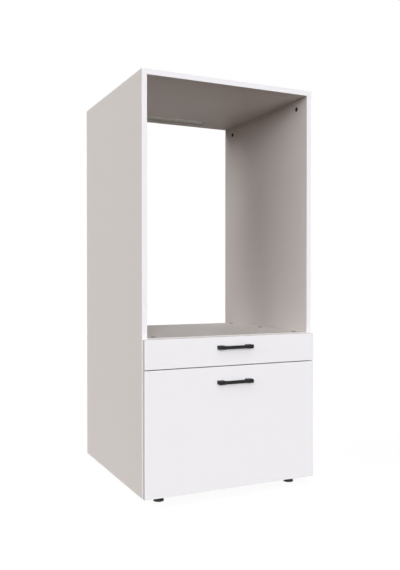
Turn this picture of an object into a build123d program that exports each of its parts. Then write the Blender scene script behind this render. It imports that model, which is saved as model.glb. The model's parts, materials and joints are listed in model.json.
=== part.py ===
from build123d import *

import math
import os
from dataclasses import dataclass

# Tall washing machine cabinet: an open niche for the machine over two drawers, on four levelling feet.
# Millimetres, +Z up, and the front faces -Y. The pieces are drawn from the carcass's own corner lines:
# x from the middle, y back from its front edges, z up from its underside. place() then moves them so
# that the origin is on the floor, under the middle of the whole part with its handles.

# Carcass
CABINET_WIDTH = 650.0
SIDE_DEPTH = 637.0
CARCASS_HEIGHT = 1386.0
NICHE_HEIGHT = 850.0
SHELF_DEPTH = 550.0
BOARD = 18.0
EDGE_BAND = 1.0
BACK_SHEET = 3.0
SHELF_CAMS = 3
BACK_SCREWS = 4

# Cut-out in the top panel, for hoses and the cable
SLOT_WIDTH = 344.0
SLOT_DEPTH = 59.0
SLOT_TO_REAR = 43.0
SLOT_CORNER = 4.0

# Fronts
FRONT_BOARD = 18.0
FRONT_SIDE_INSET = 1.5
FRONT_TOP_REVEAL = 3.5
FRONT_GAP = 3.0
UPPER_FRONT_HEIGHT = 97.0
FRONT_EDGE_RADIUS = 1.0
BUMPER_GAP = 1.0
BUMPER_RADIUS = 4.0
BUMPER_END_RADIUS = 3.2
BUMPER_TO_EDGE = 14.0

# Drawer boxes
BOX_BOARD = 16.0
BOX_DEPTH = 505.0
BOX_SHEET = 3.0
GROOVE_DEPTH = 6.0
GROOVE_HEIGHT = 10.0
UPPER_BOX_LIFT = 8.5
UPPER_BOX_DROP = 26.5
UPPER_RAIL_LIFT = 29.0
UPPER_HANDLE_DROP = 34.5
LOWER_BOX_LIFT = 30.0
LOWER_BOX_DROP = 144.5
LOWER_RAIL_LIFT = 66.0
LOWER_HANDLE_DROP = 52.0

# Telescopic rails: three nested C sections of sheet steel, with caged balls between their flanges
RAIL_LENGTH = 500.0
RAIL_SETBACK = 3.0
RAIL_WIDTH = 12.7
RAIL_HEIGHT = 45.0
RAIL_SHEET = 1.2
RAIL_BEND = 1.4
CABINET_FLANGE = 10.5
MIDDLE_WEB_AT = 3.0
MIDDLE_FLANGE = 8.0
DRAWER_FLANGE = 7.2
BALL_RADIUS = 1.8
BALL_PITCH = 25.0
BALLS_PER_ROW = 8
CAGE_SHEET = 0.6
CAGE_END = 12.5
RAIL_SCREW_TO_END = 64.0
RAIL_SCREW_LENGTH = 13.0

# Cam fittings, dowels and screws
CAM_RADIUS = 7.5
CAM_TO_JOINT = 34.0
CAM_PAST_AXIS = 4.5
CAM_SINK = 0.2
CAM_SLOT_REACH = 4.5
CAM_SLOT_WIDTH = 1.6
CAM_SLOT_DEPTH = 2.0
BOLT_RADIUS = 3.0
BOLT_HEAD_RADIUS = 3.5
BOLT_HEAD_LENGTH = 3.0
BOLT_THREAD_RADIUS = 2.5
BOLT_THREAD_LENGTH = 11.0
BOLT_BORE_RADIUS = 4.0
DOWEL_RADIUS = 4.0
DOWEL_LENGTH = 35.0
DOWEL_IN_FACE = 12.0
DOWEL_TO_CAM = 32.0
TOP_CAM_TO_EDGE = 68.0
SHELF_CAM_TO_EDGE = 34.0
SCREW_RADIUS = 1.75
SCREW_HEAD_RADIUS = 3.5
SCREW_HEAD_DEPTH = 2.0
BACK_SCREW_LENGTH = 20.0
BOX_SCREW_RADIUS = 2.5
BOX_SCREW_HEAD_RADIUS = 4.5
BOX_SCREW_HEAD_DEPTH = 3.0
BOX_SCREW_LENGTH = 45.0
RECESS_REACH = 0.55  # shares of a screw head's radius and depth
RECESS_WIDTH = 0.25
RECESS_DEPTH = 0.5

# Handles: a square bar on a block at each end
HANDLE_LENGTH = 128.0
HANDLE_PROJECTION = 26.0
HANDLE_BAR_DEPTH = 9.0
HANDLE_BAR_HEIGHT = 10.5
HANDLE_BLOCK_WIDTH = 22.0
HANDLE_BLOCK_HEIGHT = 12.5
HANDLE_END_RADIUS = 3.0
HANDLE_SCREW_SPACING = 106.0
HANDLE_SCREW_RADIUS = 2.0
HANDLE_SCREW_IN_BLOCK = 8.0
HANDLE_SCREW_HEAD_RADIUS = 4.0
HANDLE_SCREW_TOP_RADIUS = 3.2
HANDLE_SCREW_HEAD_DEPTH = 2.4

# Levelling feet
FOOT_HEIGHT = 25.0
FOOT_TO_SIDE = 71.5
FOOT_TO_EDGE = 37.0
PAD_RADIUS = 18.0
PAD_THICKNESS = 6.0
PAD_SLOPE_HEIGHT = 2.4
PAD_SLOPE_REACH = 1.5
PAD_HUB_RADIUS = 8.5
PAD_HUB_HEIGHT = 12.0
PAD_RIBS = 8
PAD_RIB_THICKNESS = 2.0
PAD_RIB_REACH = 15.3
PAD_RIB_TOP = 10.8
PAD_FLOOR = 3.0
SPINDLE_RADIUS = 5.0
SPINDLE_IN_BOARD = 16.5
SPINDLE_TIP = 1.0
SPINDLE_HEX_ACROSS = 13.0
SPINDLE_HEX_HEIGHT = 7.0
INSERT_RADIUS = 7.0
INSERT_LENGTH = 16.0
INSERT_FLANGE_RADIUS = 9.0
INSERT_FLANGE = 1.2

# Clearances
FIT = 0.05
END_GAP = 0.5
SHEET_FIT = 0.1
GROOVE_END_GAP = 0.5
RUNNING_FIT = 0.1
THREAD_FIT = 0.15
BUMPER_AIR = 0.1

# Planes and lengths that follow
SIDE_IN = CABINET_WIDTH / 2 - BOARD
SIDE_OUT = CABINET_WIDTH / 2
SIDE_TOP = CARCASS_HEIGHT - BOARD
FLOOR_TOP = SIDE_TOP - NICHE_HEIGHT
FLOOR_UNDER = FLOOR_TOP - BOARD
FRONT_BACK_FACE = -BUMPER_GAP
FRONT_FACE = FRONT_BACK_FACE - FRONT_BOARD
WHOLE_DEPTH = HANDLE_PROJECTION + FRONT_BOARD + BUMPER_GAP + SIDE_DEPTH
CARCASS_FRONT_Y = HANDLE_PROJECTION + FRONT_BOARD + BUMPER_GAP - WHOLE_DEPTH / 2
BOX_OUT = SIDE_IN - RAIL_WIDTH
BOX_IN = BOX_OUT - BOX_BOARD
BOX_REAR = FRONT_BACK_FACE + BOX_DEPTH
UPPER_FRONT_BOTTOM = FLOOR_TOP - FRONT_TOP_REVEAL - UPPER_FRONT_HEIGHT
LOWER_FRONT_HEIGHT = UPPER_FRONT_BOTTOM - FRONT_GAP
RAIL_REAR = RAIL_SETBACK + RAIL_LENGTH

X, Y, Z = Vector(1, 0, 0), Vector(0, 1, 0), Vector(0, 0, 1)
SIDES = (-1, 1)


def slab(x, y, z):
    """A box between two values along each axis, given in either order."""
    spans = [sorted(pair) for pair in (x, y, z)]
    middle = [(low + high) / 2 for low, high in spans]
    size = [high - low for low, high in spans]
    return Pos(*middle) * Box(*size)


def rod(start, along, length, radius, end_radius=None):
    """A cylinder from a point along a direction, or a cone where the far radius differs."""
    align = (Align.CENTER, Align.CENTER, Align.MIN)
    far = radius if end_radius is None else end_radius
    body = Cylinder(radius, length, align=align) if far == radius else Cone(radius, far, length, align=align)
    return Plane(origin=start, z_dir=along) * body


def cross_recess(point, along, reach, width, depth):
    """The two crossed slots that a driver turns, cut from a point into a screw's or a cam's head."""
    plane = Plane(origin=point, z_dir=along)
    align = (Align.CENTER, Align.CENTER, Align.MIN)
    return plane * (Box(2 * reach, width, depth, align=align) + Box(width, 2 * reach, depth, align=align))


def cut(shape, tools):
    """A shape less each of a list of tools."""
    for tool in tools:
        shape -= tool
    return shape


def evenly(low, high, count):
    """Places that divide a span into equal steps, its ends left out."""
    return [low + (high - low) * (i + 1) / (count + 1) for i in range(count)]


def place(shape):
    """A piece moved from the carcass's corner lines to the part's own frame."""
    return Pos(0, CARCASS_FRONT_Y, FOOT_HEIGHT) * shape


def write(node, *solids):
    """One node's file, of one solid or of a group of separate ones."""
    placed = [place(solid) for solid in solids]
    export_step(placed[0] if len(placed) == 1 else Compound(placed), f"parts/{node}.step")


@dataclass(frozen=True)
class CamJoint:
    """A cam fitting: its bolt crosses the joint at a point, along a direction, into the cam's own board."""

    joint: Vector
    along: Vector
    out_of_face: Vector
    board: float

    @property
    def centre(self):
        """Where the bolt's axis meets the cam's."""
        return self.joint + self.along * CAM_TO_JOINT

    @property
    def face(self):
        """The middle of the cam's bore on the board's face."""
        return self.centre + self.out_of_face * (self.board / 2)

    def cam(self):
        """The cam: a drum with a channel for the bolt's head and a cross for the driver."""
        top = self.face - self.out_of_face * CAM_SINK
        height = self.board / 2 + CAM_PAST_AXIS - CAM_SINK
        drum = rod(top, -self.out_of_face, height, CAM_RADIUS)
        channel = rod(self.joint, self.along, CAM_TO_JOINT + BOLT_HEAD_LENGTH, BOLT_BORE_RADIUS)
        return drum - channel - cross_recess(
            top, -self.out_of_face, CAM_SLOT_REACH, CAM_SLOT_WIDTH, CAM_SLOT_DEPTH
        )

    def bolt(self):
        """The bolt: thread in the mating board, shank through the edge, head in the cam."""
        thread = rod(self.joint, -self.along, BOLT_THREAD_LENGTH, BOLT_THREAD_RADIUS)
        shank = rod(self.joint, self.along, CAM_TO_JOINT, BOLT_RADIUS)
        head_end = self.centre - self.along * (BOLT_HEAD_LENGTH / 2)
        head = rod(head_end, self.along, BOLT_HEAD_LENGTH, BOLT_HEAD_RADIUS)
        return thread + shank + head

    def bore_in_own_board(self):
        """The cam's pocket and the bolt's bore from the edge."""
        pocket = rod(self.face, -self.out_of_face, self.board / 2 + CAM_PAST_AXIS, CAM_RADIUS + FIT)
        return pocket + rod(self.joint, self.along, CAM_TO_JOINT, BOLT_BORE_RADIUS)

    def bore_in_mate(self):
        """The hole that the bolt is screwed into."""
        return rod(self.joint, -self.along, BOLT_THREAD_LENGTH + END_GAP, BOLT_THREAD_RADIUS + FIT)


@dataclass(frozen=True)
class DowelJoint:
    """A wooden dowel across a joint, its short end in the mating board's face."""

    joint: Vector
    along: Vector

    def dowel(self):
        """The dowel."""
        return rod(self.joint - self.along * DOWEL_IN_FACE, self.along, DOWEL_LENGTH, DOWEL_RADIUS)

    def bore(self):
        """The bore through both boards, a little longer than the dowel."""
        start = self.joint - self.along * (DOWEL_IN_FACE + END_GAP)
        return rod(start, self.along, DOWEL_LENGTH + 2 * END_GAP, DOWEL_RADIUS + FIT)


@dataclass(frozen=True)
class Screw:
    """A countersunk screw, its head flush at a point, its shank running along a direction."""

    head: Vector
    along: Vector
    length: float
    radius: float = SCREW_RADIUS
    head_radius: float = SCREW_HEAD_RADIUS
    head_depth: float = SCREW_HEAD_DEPTH

    def solid(self):
        """The screw."""
        cone = rod(self.head, self.along, self.head_depth, self.head_radius, self.radius)
        reach, width = self.head_radius * RECESS_REACH, self.head_radius * RECESS_WIDTH
        recess = cross_recess(self.head, self.along, reach, width, self.head_depth * RECESS_DEPTH)
        return cone + rod(self.head, self.along, self.length, self.radius) - recess

    def bore(self):
        """Its hole and countersink."""
        cone = rod(self.head, self.along, self.head_depth, self.head_radius + FIT, self.radius + FIT)
        return cone + rod(self.head, self.along, self.length + END_GAP, self.radius + FIT)


def shelf_joints(top_z, cams, side):
    """The cam and dowel joints at one end of a shelf board whose upper face is at top_z."""
    mid = top_z - BOARD / 2
    front, rear = SHELF_CAM_TO_EDGE, SHELF_DEPTH - SHELF_CAM_TO_EDGE
    places = [front + (rear - front) * i / (cams - 1) for i in range(cams)]
    cam_joints = [CamJoint(Vector(side * SIDE_IN, y, mid), X * -side, Z, BOARD) for y in places]
    dowel_places = (front + DOWEL_TO_CAM, rear - DOWEL_TO_CAM)
    return cam_joints, [DowelJoint(Vector(side * SIDE_IN, y, mid), X * -side) for y in dowel_places]


def top_joints(side):
    """The cam and dowel joints between a side panel's upper edge and the top panel."""
    axis_x = side * (SIDE_IN + BOARD / 2)
    front, rear = TOP_CAM_TO_EDGE, SIDE_DEPTH - TOP_CAM_TO_EDGE
    cam_joints = [CamJoint(Vector(axis_x, y, SIDE_TOP), -Z, X * -side, BOARD) for y in (front, rear)]
    places = (front + DOWEL_TO_CAM, (front + rear) / 2, rear - DOWEL_TO_CAM)
    return cam_joints, [DowelJoint(Vector(axis_x, y, SIDE_TOP), -Z) for y in places]


def channel(web_x, open_x, half_height, middle_z, sheet):
    """A rail's C section along the rail's length, its web at web_x and its flanges running to open_x."""
    inward = math.copysign(sheet, open_x - web_x)
    length = (RAIL_SETBACK, RAIL_REAR)
    outer = slab((web_x, open_x), length, (middle_z - half_height, middle_z + half_height))
    inner_half = half_height - sheet
    hollow = slab((web_x + inward, open_x + inward), length, (middle_z - inner_half, middle_z + inner_half))
    return fillet(web_edges(outer, web_x), RAIL_BEND) - hollow


def web_edges(shape, web_x):
    """The two long edges of a rail at its web."""
    ranked = shape.edges().filter_by(Axis.Y).sort_by(lambda edge: abs(edge.center().X - web_x))
    return ranked[:2]


@dataclass(frozen=True)
class RailSet:
    """One telescopic rail on one side of a drawer, with everything between the cabinet's wall and the box."""

    side: int
    middle_z: float

    def from_wall(self, distance):
        """The x of a plane at a distance in from the side panel's inner face."""
        return self.side * (SIDE_IN - distance)

    @property
    def middle_half(self):
        """Half the middle member's height."""
        return RAIL_HEIGHT / 2 - RAIL_SHEET - 2 * (BALL_RADIUS + RUNNING_FIT)

    @property
    def drawer_half(self):
        """Half the drawer member's height."""
        return self.middle_half - RAIL_SHEET - 2 * (BALL_RADIUS + RUNNING_FIT)

    def screw_places(self):
        """Where the screws are along the rail."""
        front, rear = RAIL_SETBACK + RAIL_SCREW_TO_END, RAIL_REAR - RAIL_SCREW_TO_END
        return (front, (front + rear) / 2, rear)

    def cabinet_screws(self):
        """The screws that hold the cabinet member to the side panel."""
        heads = [Vector(self.from_wall(RAIL_SHEET), y, self.middle_z) for y in self.screw_places()]
        return [Screw(head, X * self.side, RAIL_SCREW_LENGTH) for head in heads]

    def drawer_screws(self):
        """The screws that hold the drawer member to the box's side."""
        x = self.from_wall(RAIL_WIDTH - RAIL_SHEET)
        heads = [Vector(x, y, self.middle_z) for y in self.screw_places()]
        return [Screw(head, X * -self.side, RAIL_SCREW_LENGTH) for head in heads]

    def cabinet_member(self):
        """The outer section, on the side panel."""
        web, open_end = self.from_wall(0), self.from_wall(CABINET_FLANGE)
        section = channel(web, open_end, RAIL_HEIGHT / 2, self.middle_z, RAIL_SHEET)
        return cut(section, [screw.bore() for screw in self.cabinet_screws()])

    def middle_member(self):
        """The section between the other two."""
        web, open_end = self.from_wall(MIDDLE_WEB_AT), self.from_wall(MIDDLE_WEB_AT + MIDDLE_FLANGE)
        return channel(web, open_end, self.middle_half, self.middle_z, RAIL_SHEET)

    def drawer_member(self):
        """The inner section, on the box's side, open towards the wall."""
        web, open_end = self.from_wall(RAIL_WIDTH), self.from_wall(RAIL_WIDTH - DRAWER_FLANGE)
        section = channel(web, open_end, self.drawer_half, self.middle_z, RAIL_SHEET)
        return cut(section, [screw.bore() for screw in self.drawer_screws()])

    def caged_balls(self, web_at, ball_at, ball_height):
        """A cage and its balls, in the gap between two members."""
        rail_middle = (RAIL_SETBACK + RAIL_REAR) / 2
        row = (BALLS_PER_ROW - 1) * BALL_PITCH
        length = (rail_middle - row / 2 - CAGE_END, rail_middle + row / 2 + CAGE_END)
        half = ball_height + CAGE_SHEET / 2
        x = (self.from_wall(web_at), self.from_wall(ball_at + BALL_RADIUS + CAGE_SHEET))
        cage = slab(x, length, (self.middle_z - half, self.middle_z + half))
        inner = half - CAGE_SHEET
        hollow_x = (self.from_wall(web_at + CAGE_SHEET), x[1] - self.side * CAGE_SHEET)
        cage -= slab(hollow_x, length, (self.middle_z - inner, self.middle_z + inner))
        places = [rail_middle - row / 2 + i * BALL_PITCH for i in range(BALLS_PER_ROW)]
        heights = (self.middle_z - ball_height, self.middle_z + ball_height)
        centres = [Vector(self.from_wall(ball_at), y, z) for y in places for z in heights]
        holes = [rod(c - Z * CAGE_SHEET, Z, 2 * CAGE_SHEET, BALL_RADIUS + RUNNING_FIT) for c in centres]
        return [cut(cage, holes)] + [Pos(*c) * Sphere(BALL_RADIUS) for c in centres]

    def outer_cage(self):
        """The cage between the cabinet member and the middle one."""
        web_at = (RAIL_SHEET + MIDDLE_WEB_AT - CAGE_SHEET) / 2
        ball_at = (MIDDLE_WEB_AT + CABINET_FLANGE) / 2
        return self.caged_balls(web_at, ball_at, self.middle_half + RUNNING_FIT + BALL_RADIUS)

    def inner_cage(self):
        """The cage between the middle member and the drawer's."""
        drawer_open = RAIL_WIDTH - DRAWER_FLANGE
        web_at = (MIDDLE_WEB_AT + RAIL_SHEET + drawer_open - CAGE_SHEET) / 2
        ball_at = (drawer_open + MIDDLE_WEB_AT + MIDDLE_FLANGE) / 2
        return self.caged_balls(web_at, ball_at, self.drawer_half + RUNNING_FIT + BALL_RADIUS)


@dataclass(frozen=True)
class Drawer:
    """One drawer: front, box, rails, handle and fittings."""

    name: str
    front_bottom: float
    front_height: float
    box_lift: float
    box_drop: float
    rail_lift: float
    handle_drop: float
    cams_per_side: int
    back_screws_per_side: int

    @property
    def front_top(self):
        """The front's upper edge."""
        return self.front_bottom + self.front_height

    @property
    def box_bottom(self):
        """The lower edge of the box's sides."""
        return self.front_bottom + self.box_lift

    @property
    def box_top(self):
        """The upper edge of the box's sides."""
        return self.front_top - self.box_drop

    @property
    def handle_z(self):
        """The height of the handle's screws."""
        return self.front_top - self.handle_drop

    @property
    def sheet_z(self):
        """The two faces of the box's bottom sheet."""
        low = self.box_bottom + GROOVE_HEIGHT
        return (low, low + BOX_SHEET)

    @property
    def rails(self):
        """The rail on each side."""
        return [RailSet(side, self.box_bottom + self.rail_lift) for side in SIDES]

    def groove(self):
        """The space that the bottom sheet's grooves take from the boards around it."""
        x = BOX_IN + GROOVE_DEPTH
        y = (FRONT_BACK_FACE - GROOVE_DEPTH, BOX_REAR - BOX_BOARD + GROOVE_DEPTH)
        return slab((-x, x), y, (self.sheet_z[0] - SHEET_FIT, self.sheet_z[1] + SHEET_FIT))

    def cam_joints(self, side):
        """The cams that pull one box side against the front."""
        x = side * (BOX_OUT - BOX_BOARD / 2)
        heights = evenly(self.box_bottom, self.box_top, self.cams_per_side)
        return [CamJoint(Vector(x, FRONT_BACK_FACE, z), Y, X * -side, BOX_BOARD) for z in heights]

    def back_screws(self, side):
        """The screws through one box side into the box's back."""
        heights = evenly(self.box_bottom, self.box_top, self.back_screws_per_side)
        y = BOX_REAR - BOX_BOARD / 2
        sunk = side * (BOX_OUT - CAM_SINK)
        size = (BOX_SCREW_LENGTH, BOX_SCREW_RADIUS, BOX_SCREW_HEAD_RADIUS, BOX_SCREW_HEAD_DEPTH)
        return [Screw(Vector(sunk, y, z), X * -side, *size) for z in heights]

    def back_screw_bores(self, side):
        """Their holes, the countersinks opened out to the face."""
        screws = self.back_screws(side)
        mouths = [rod(s.head - s.along * CAM_SINK, s.along, CAM_SINK, s.head_radius + FIT) for s in screws]
        return [screw.bore() + mouth for screw, mouth in zip(screws, mouths)]

    def handle_axes(self):
        """Where each handle screw's axis crosses the front's outer face."""
        half = HANDLE_SCREW_SPACING / 2
        return [Vector(side * half, FRONT_FACE, self.handle_z) for side in SIDES]

    def front(self):
        """The front panel."""
        x = SIDE_OUT - FRONT_SIDE_INSET
        panel = slab((-x, x), (FRONT_FACE, FRONT_BACK_FACE), (self.front_bottom, self.front_top))
        face_edges = panel.faces().sort_by(Axis.Y)[0].edges() + panel.faces().sort_by(Axis.Y)[-1].edges()
        panel = fillet(face_edges, FRONT_EDGE_RADIUS) - self.groove()
        bolts = [joint.bore_in_mate() for side in SIDES for joint in self.cam_joints(side)]
        through = [rod(p, Y, FRONT_BOARD, HANDLE_SCREW_RADIUS + END_GAP) for p in self.handle_axes()]
        return cut(panel, bolts + through)

    def box_side(self, side):
        """One side of the box."""
        rail = self.rails[SIDES.index(side)]
        x = (side * BOX_IN, side * BOX_OUT)
        panel = slab(x, (FRONT_BACK_FACE, BOX_REAR), (self.box_bottom, self.box_top)) - self.groove()
        bores = [joint.bore_in_own_board() for joint in self.cam_joints(side)]
        bores += [screw.bore() for screw in rail.drawer_screws()]
        return cut(panel, bores + self.back_screw_bores(side))

    def box_back(self):
        """The back of the box, between its sides."""
        panel = slab((-BOX_IN, BOX_IN), (BOX_REAR - BOX_BOARD, BOX_REAR), (self.box_bottom, self.box_top))
        bores = [bore for side in SIDES for bore in self.back_screw_bores(side)]
        return cut(panel - self.groove(), bores)

    def box_sheet(self):
        """The bottom sheet, in its grooves."""
        reach = GROOVE_DEPTH - GROOVE_END_GAP
        y = (FRONT_BACK_FACE - reach, BOX_REAR - BOX_BOARD + reach)
        return slab((-BOX_IN - reach, BOX_IN + reach), y, self.sheet_z)

    def handle(self):
        """The handle: a bar on two blocks."""
        end, block_in = HANDLE_LENGTH / 2, HANDLE_LENGTH / 2 - HANDLE_BLOCK_WIDTH
        near = FRONT_FACE - HANDLE_PROJECTION
        bar_z = (self.handle_z - HANDLE_BAR_HEIGHT / 2, self.handle_z + HANDLE_BAR_HEIGHT / 2)
        block_z = (self.handle_z - HANDLE_BLOCK_HEIGHT / 2, self.handle_z + HANDLE_BLOCK_HEIGHT / 2)
        shape = slab((-block_in, block_in), (near, near + HANDLE_BAR_DEPTH), bar_z)
        for side in SIDES:
            block = slab((side * block_in, side * end), (near, FRONT_FACE), block_z)
            front_corners = block.edges().filter_by(Axis.Z).group_by(Axis.Y)[0].sort_by(Axis.X)
            corner = front_corners[0 if side < 0 else -1]
            shape += fillet(corner, HANDLE_END_RADIUS)
        depth = HANDLE_SCREW_IN_BLOCK + END_GAP
        bores = [rod(point, -Y, depth, HANDLE_SCREW_RADIUS + FIT) for point in self.handle_axes()]
        return cut(shape, bores)

    def handle_screws(self):
        """The machine screws through the front into the handle's blocks."""
        screws = []
        for point in self.handle_axes():
            seat = point + Y * FRONT_BOARD
            shank = rod(seat, -Y, FRONT_BOARD + HANDLE_SCREW_IN_BLOCK, HANDLE_SCREW_RADIUS)
            head = rod(seat, Y, HANDLE_SCREW_HEAD_DEPTH, HANDLE_SCREW_HEAD_RADIUS, HANDLE_SCREW_TOP_RADIUS)
            top = seat + Y * HANDLE_SCREW_HEAD_DEPTH
            reach, width = HANDLE_SCREW_HEAD_RADIUS * RECESS_REACH, HANDLE_SCREW_HEAD_RADIUS * RECESS_WIDTH
            recess = cross_recess(top, -Y, reach, width, HANDLE_SCREW_HEAD_DEPTH * RECESS_DEPTH)
            screws.append(shank + head - recess)
        return screws

    def bumpers(self):
        """The soft pads on the front's back, which meet the side panels' edges."""
        heights = (self.front_bottom + BUMPER_TO_EDGE, self.front_top - BUMPER_TO_EDGE)
        points = [Vector(side * (SIDE_IN + BOARD / 2), FRONT_BACK_FACE, z) for side in SIDES for z in heights]
        return [rod(p, Y, BUMPER_GAP - BUMPER_AIR, BUMPER_RADIUS, BUMPER_END_RADIUS) for p in points]

    def write_nodes(self):
        """Every node of the drawer and of its rails."""
        name, rails = self.name, self.rails
        both = [joint for side in SIDES for joint in self.cam_joints(side)]
        write(f"{name}_drawer_front", self.front())
        write(f"{name}_drawer_left_side", self.box_side(-1))
        write(f"{name}_drawer_right_side", self.box_side(1))
        write(f"{name}_drawer_back", self.box_back())
        write(f"{name}_drawer_bottom", self.box_sheet())
        write(f"{name}_drawer_cams", *[joint.cam() for joint in both])
        write(f"{name}_drawer_cam_bolts", *[joint.bolt() for joint in both])
        write(f"{name}_drawer_back_screws", *[s.solid() for side in SIDES for s in self.back_screws(side)])
        write(f"{name}_drawer_bumpers", *self.bumpers())
        write(f"{name}_handle", self.handle())
        write(f"{name}_handle_screws", *self.handle_screws())
        write(f"{name}_cabinet_rails", *[rail.cabinet_member() for rail in rails])
        write(f"{name}_middle_rails", *[rail.middle_member() for rail in rails])
        write(f"{name}_drawer_rails", *[rail.drawer_member() for rail in rails])
        write(f"{name}_drawer_rail_screws", *[s.solid() for rail in rails for s in rail.drawer_screws()])
        write(f"{name}_outer_ball_cages", *[solid for rail in rails for solid in rail.outer_cage()])
        write(f"{name}_inner_ball_cages", *[solid for rail in rails for solid in rail.inner_cage()])


UPPER = Drawer(
    name="upper",
    front_bottom=UPPER_FRONT_BOTTOM,
    front_height=UPPER_FRONT_HEIGHT,
    box_lift=UPPER_BOX_LIFT,
    box_drop=UPPER_BOX_DROP,
    rail_lift=UPPER_RAIL_LIFT,
    handle_drop=UPPER_HANDLE_DROP,
    cams_per_side=1,
    back_screws_per_side=2,
)
LOWER = Drawer(
    name="lower",
    front_bottom=0.0,
    front_height=LOWER_FRONT_HEIGHT,
    box_lift=LOWER_BOX_LIFT,
    box_drop=LOWER_BOX_DROP,
    rail_lift=LOWER_RAIL_LIFT,
    handle_drop=LOWER_HANDLE_DROP,
    cams_per_side=2,
    back_screws_per_side=3,
)
DRAWERS = (UPPER, LOWER)


def side_panel(side):
    """A side panel, from the cabinet's underside to the top panel."""
    panel = slab((side * SIDE_IN, side * SIDE_OUT), (EDGE_BAND, SIDE_DEPTH), (0, SIDE_TOP))
    cams, dowels = top_joints(side)
    bores = [joint.bore_in_own_board() for joint in cams] + [joint.bore() for joint in dowels]
    for top_z in (FLOOR_TOP, BOARD):
        cams, dowels = shelf_joints(top_z, SHELF_CAMS, side)
        bores += [joint.bore_in_mate() for joint in cams] + [joint.bore() for joint in dowels]
    for drawer in DRAWERS:
        bores += [screw.bore() for screw in drawer.rails[SIDES.index(side)].cabinet_screws()]
    return cut(panel, bores)


def top_panel():
    """The top panel, which lies on the side panels, with its cut-out near the rear edge."""
    panel = slab((-SIDE_OUT, SIDE_OUT), (EDGE_BAND, SIDE_DEPTH), (SIDE_TOP, CARCASS_HEIGHT))
    slot_y = (SIDE_DEPTH - SLOT_TO_REAR - SLOT_DEPTH, SIDE_DEPTH - SLOT_TO_REAR)
    slot = slab((-SLOT_WIDTH / 2, SLOT_WIDTH / 2), slot_y, (SIDE_TOP, CARCASS_HEIGHT))
    bores = [fillet(slot.edges().filter_by(Axis.Z), SLOT_CORNER)]
    for side in SIDES:
        cams, dowels = top_joints(side)
        bores += [joint.bore_in_mate() for joint in cams] + [joint.bore() for joint in dowels]
    return cut(panel, bores)


def shelf_panel(top_z, extra_bores=()):
    """The niche floor or the bottom panel, between the side panels."""
    panel = slab((-SIDE_IN, SIDE_IN), (EDGE_BAND, SHELF_DEPTH), (top_z - BOARD, top_z))
    bores = list(extra_bores) + [screw.bore() for screw in back_screws(top_z)]
    for side in SIDES:
        cams, dowels = shelf_joints(top_z, SHELF_CAMS, side)
        bores += [joint.bore_in_own_board() for joint in cams] + [joint.bore() for joint in dowels]
    return cut(panel, bores)


def back_screws(top_z):
    """The screws through the bay's back sheet into the rear edge of a shelf board."""
    y = SHELF_DEPTH + BACK_SHEET
    places = evenly(-SIDE_IN, SIDE_IN, BACK_SCREWS)
    return [Screw(Vector(x, y, top_z - BOARD / 2), -Y, BACK_SCREW_LENGTH) for x in places]


def back_sheet():
    """The thin sheet behind the drawers, from the bottom panel to the niche floor."""
    x = SIDE_IN - SHEET_FIT
    sheet = slab((-x, x), (SHELF_DEPTH, SHELF_DEPTH + BACK_SHEET), (0, FLOOR_TOP))
    return cut(sheet, [screw.bore() for top_z in (FLOOR_TOP, BOARD) for screw in back_screws(top_z)])


def foot_axes():
    """The name and the point on the carcass's underside of each foot's axis."""
    x = SIDE_OUT - FOOT_TO_SIDE
    return {
        "front_left": Vector(-x, FOOT_TO_EDGE, 0),
        "front_right": Vector(x, FOOT_TO_EDGE, 0),
        "rear_left": Vector(-x, SHELF_DEPTH - FOOT_TO_EDGE, 0),
        "rear_right": Vector(x, SHELF_DEPTH - FOOT_TO_EDGE, 0),
    }


def insert(axis):
    """A foot's threaded sleeve, pressed into the bottom panel from below, and seated on its flange."""
    sleeve = rod(axis, Z, INSERT_LENGTH, INSERT_RADIUS) + rod(axis, -Z, INSERT_FLANGE, INSERT_FLANGE_RADIUS)
    mouth = axis - Z * INSERT_FLANGE
    return sleeve - rod(mouth, Z, INSERT_LENGTH + INSERT_FLANGE, SPINDLE_RADIUS + THREAD_FIT)


def insert_bore(axis):
    """The bore for the sleeve, and for the spindle's end past it."""
    return rod(axis, Z, max(INSERT_LENGTH, SPINDLE_IN_BOARD) + END_GAP, INSERT_RADIUS + FIT)


def pad(axis):
    """A foot's pad: a ribbed disc with a hub that the spindle turns in."""
    floor = axis - Z * FOOT_HEIGHT
    disc = rod(floor, Z, PAD_THICKNESS, PAD_RADIUS)
    disc = chamfer(disc.edges().group_by(Axis.Z)[-1], PAD_SLOPE_HEIGHT, PAD_SLOPE_REACH)
    disc += rod(floor, Z, PAD_HUB_HEIGHT, PAD_HUB_RADIUS)
    rim, crown = (PAD_RIB_REACH, PAD_THICKNESS), (PAD_HUB_RADIUS, PAD_RIB_TOP)
    outline = Polyline((0, 0), (PAD_RIB_REACH, 0), rim, crown, (0, PAD_RIB_TOP), close=True)
    rib = extrude(Plane.XZ * make_face(outline), PAD_RIB_THICKNESS / 2, both=True)
    for i in range(PAD_RIBS):
        turned = Plane(origin=floor, x_dir=X.rotate(Axis.Z, 360 * (i + 0.5) / PAD_RIBS), z_dir=Z)
        disc += turned * rib
    return disc - rod(floor + Z * PAD_FLOOR, Z, PAD_HUB_HEIGHT, SPINDLE_RADIUS + RUNNING_FIT)


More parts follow.
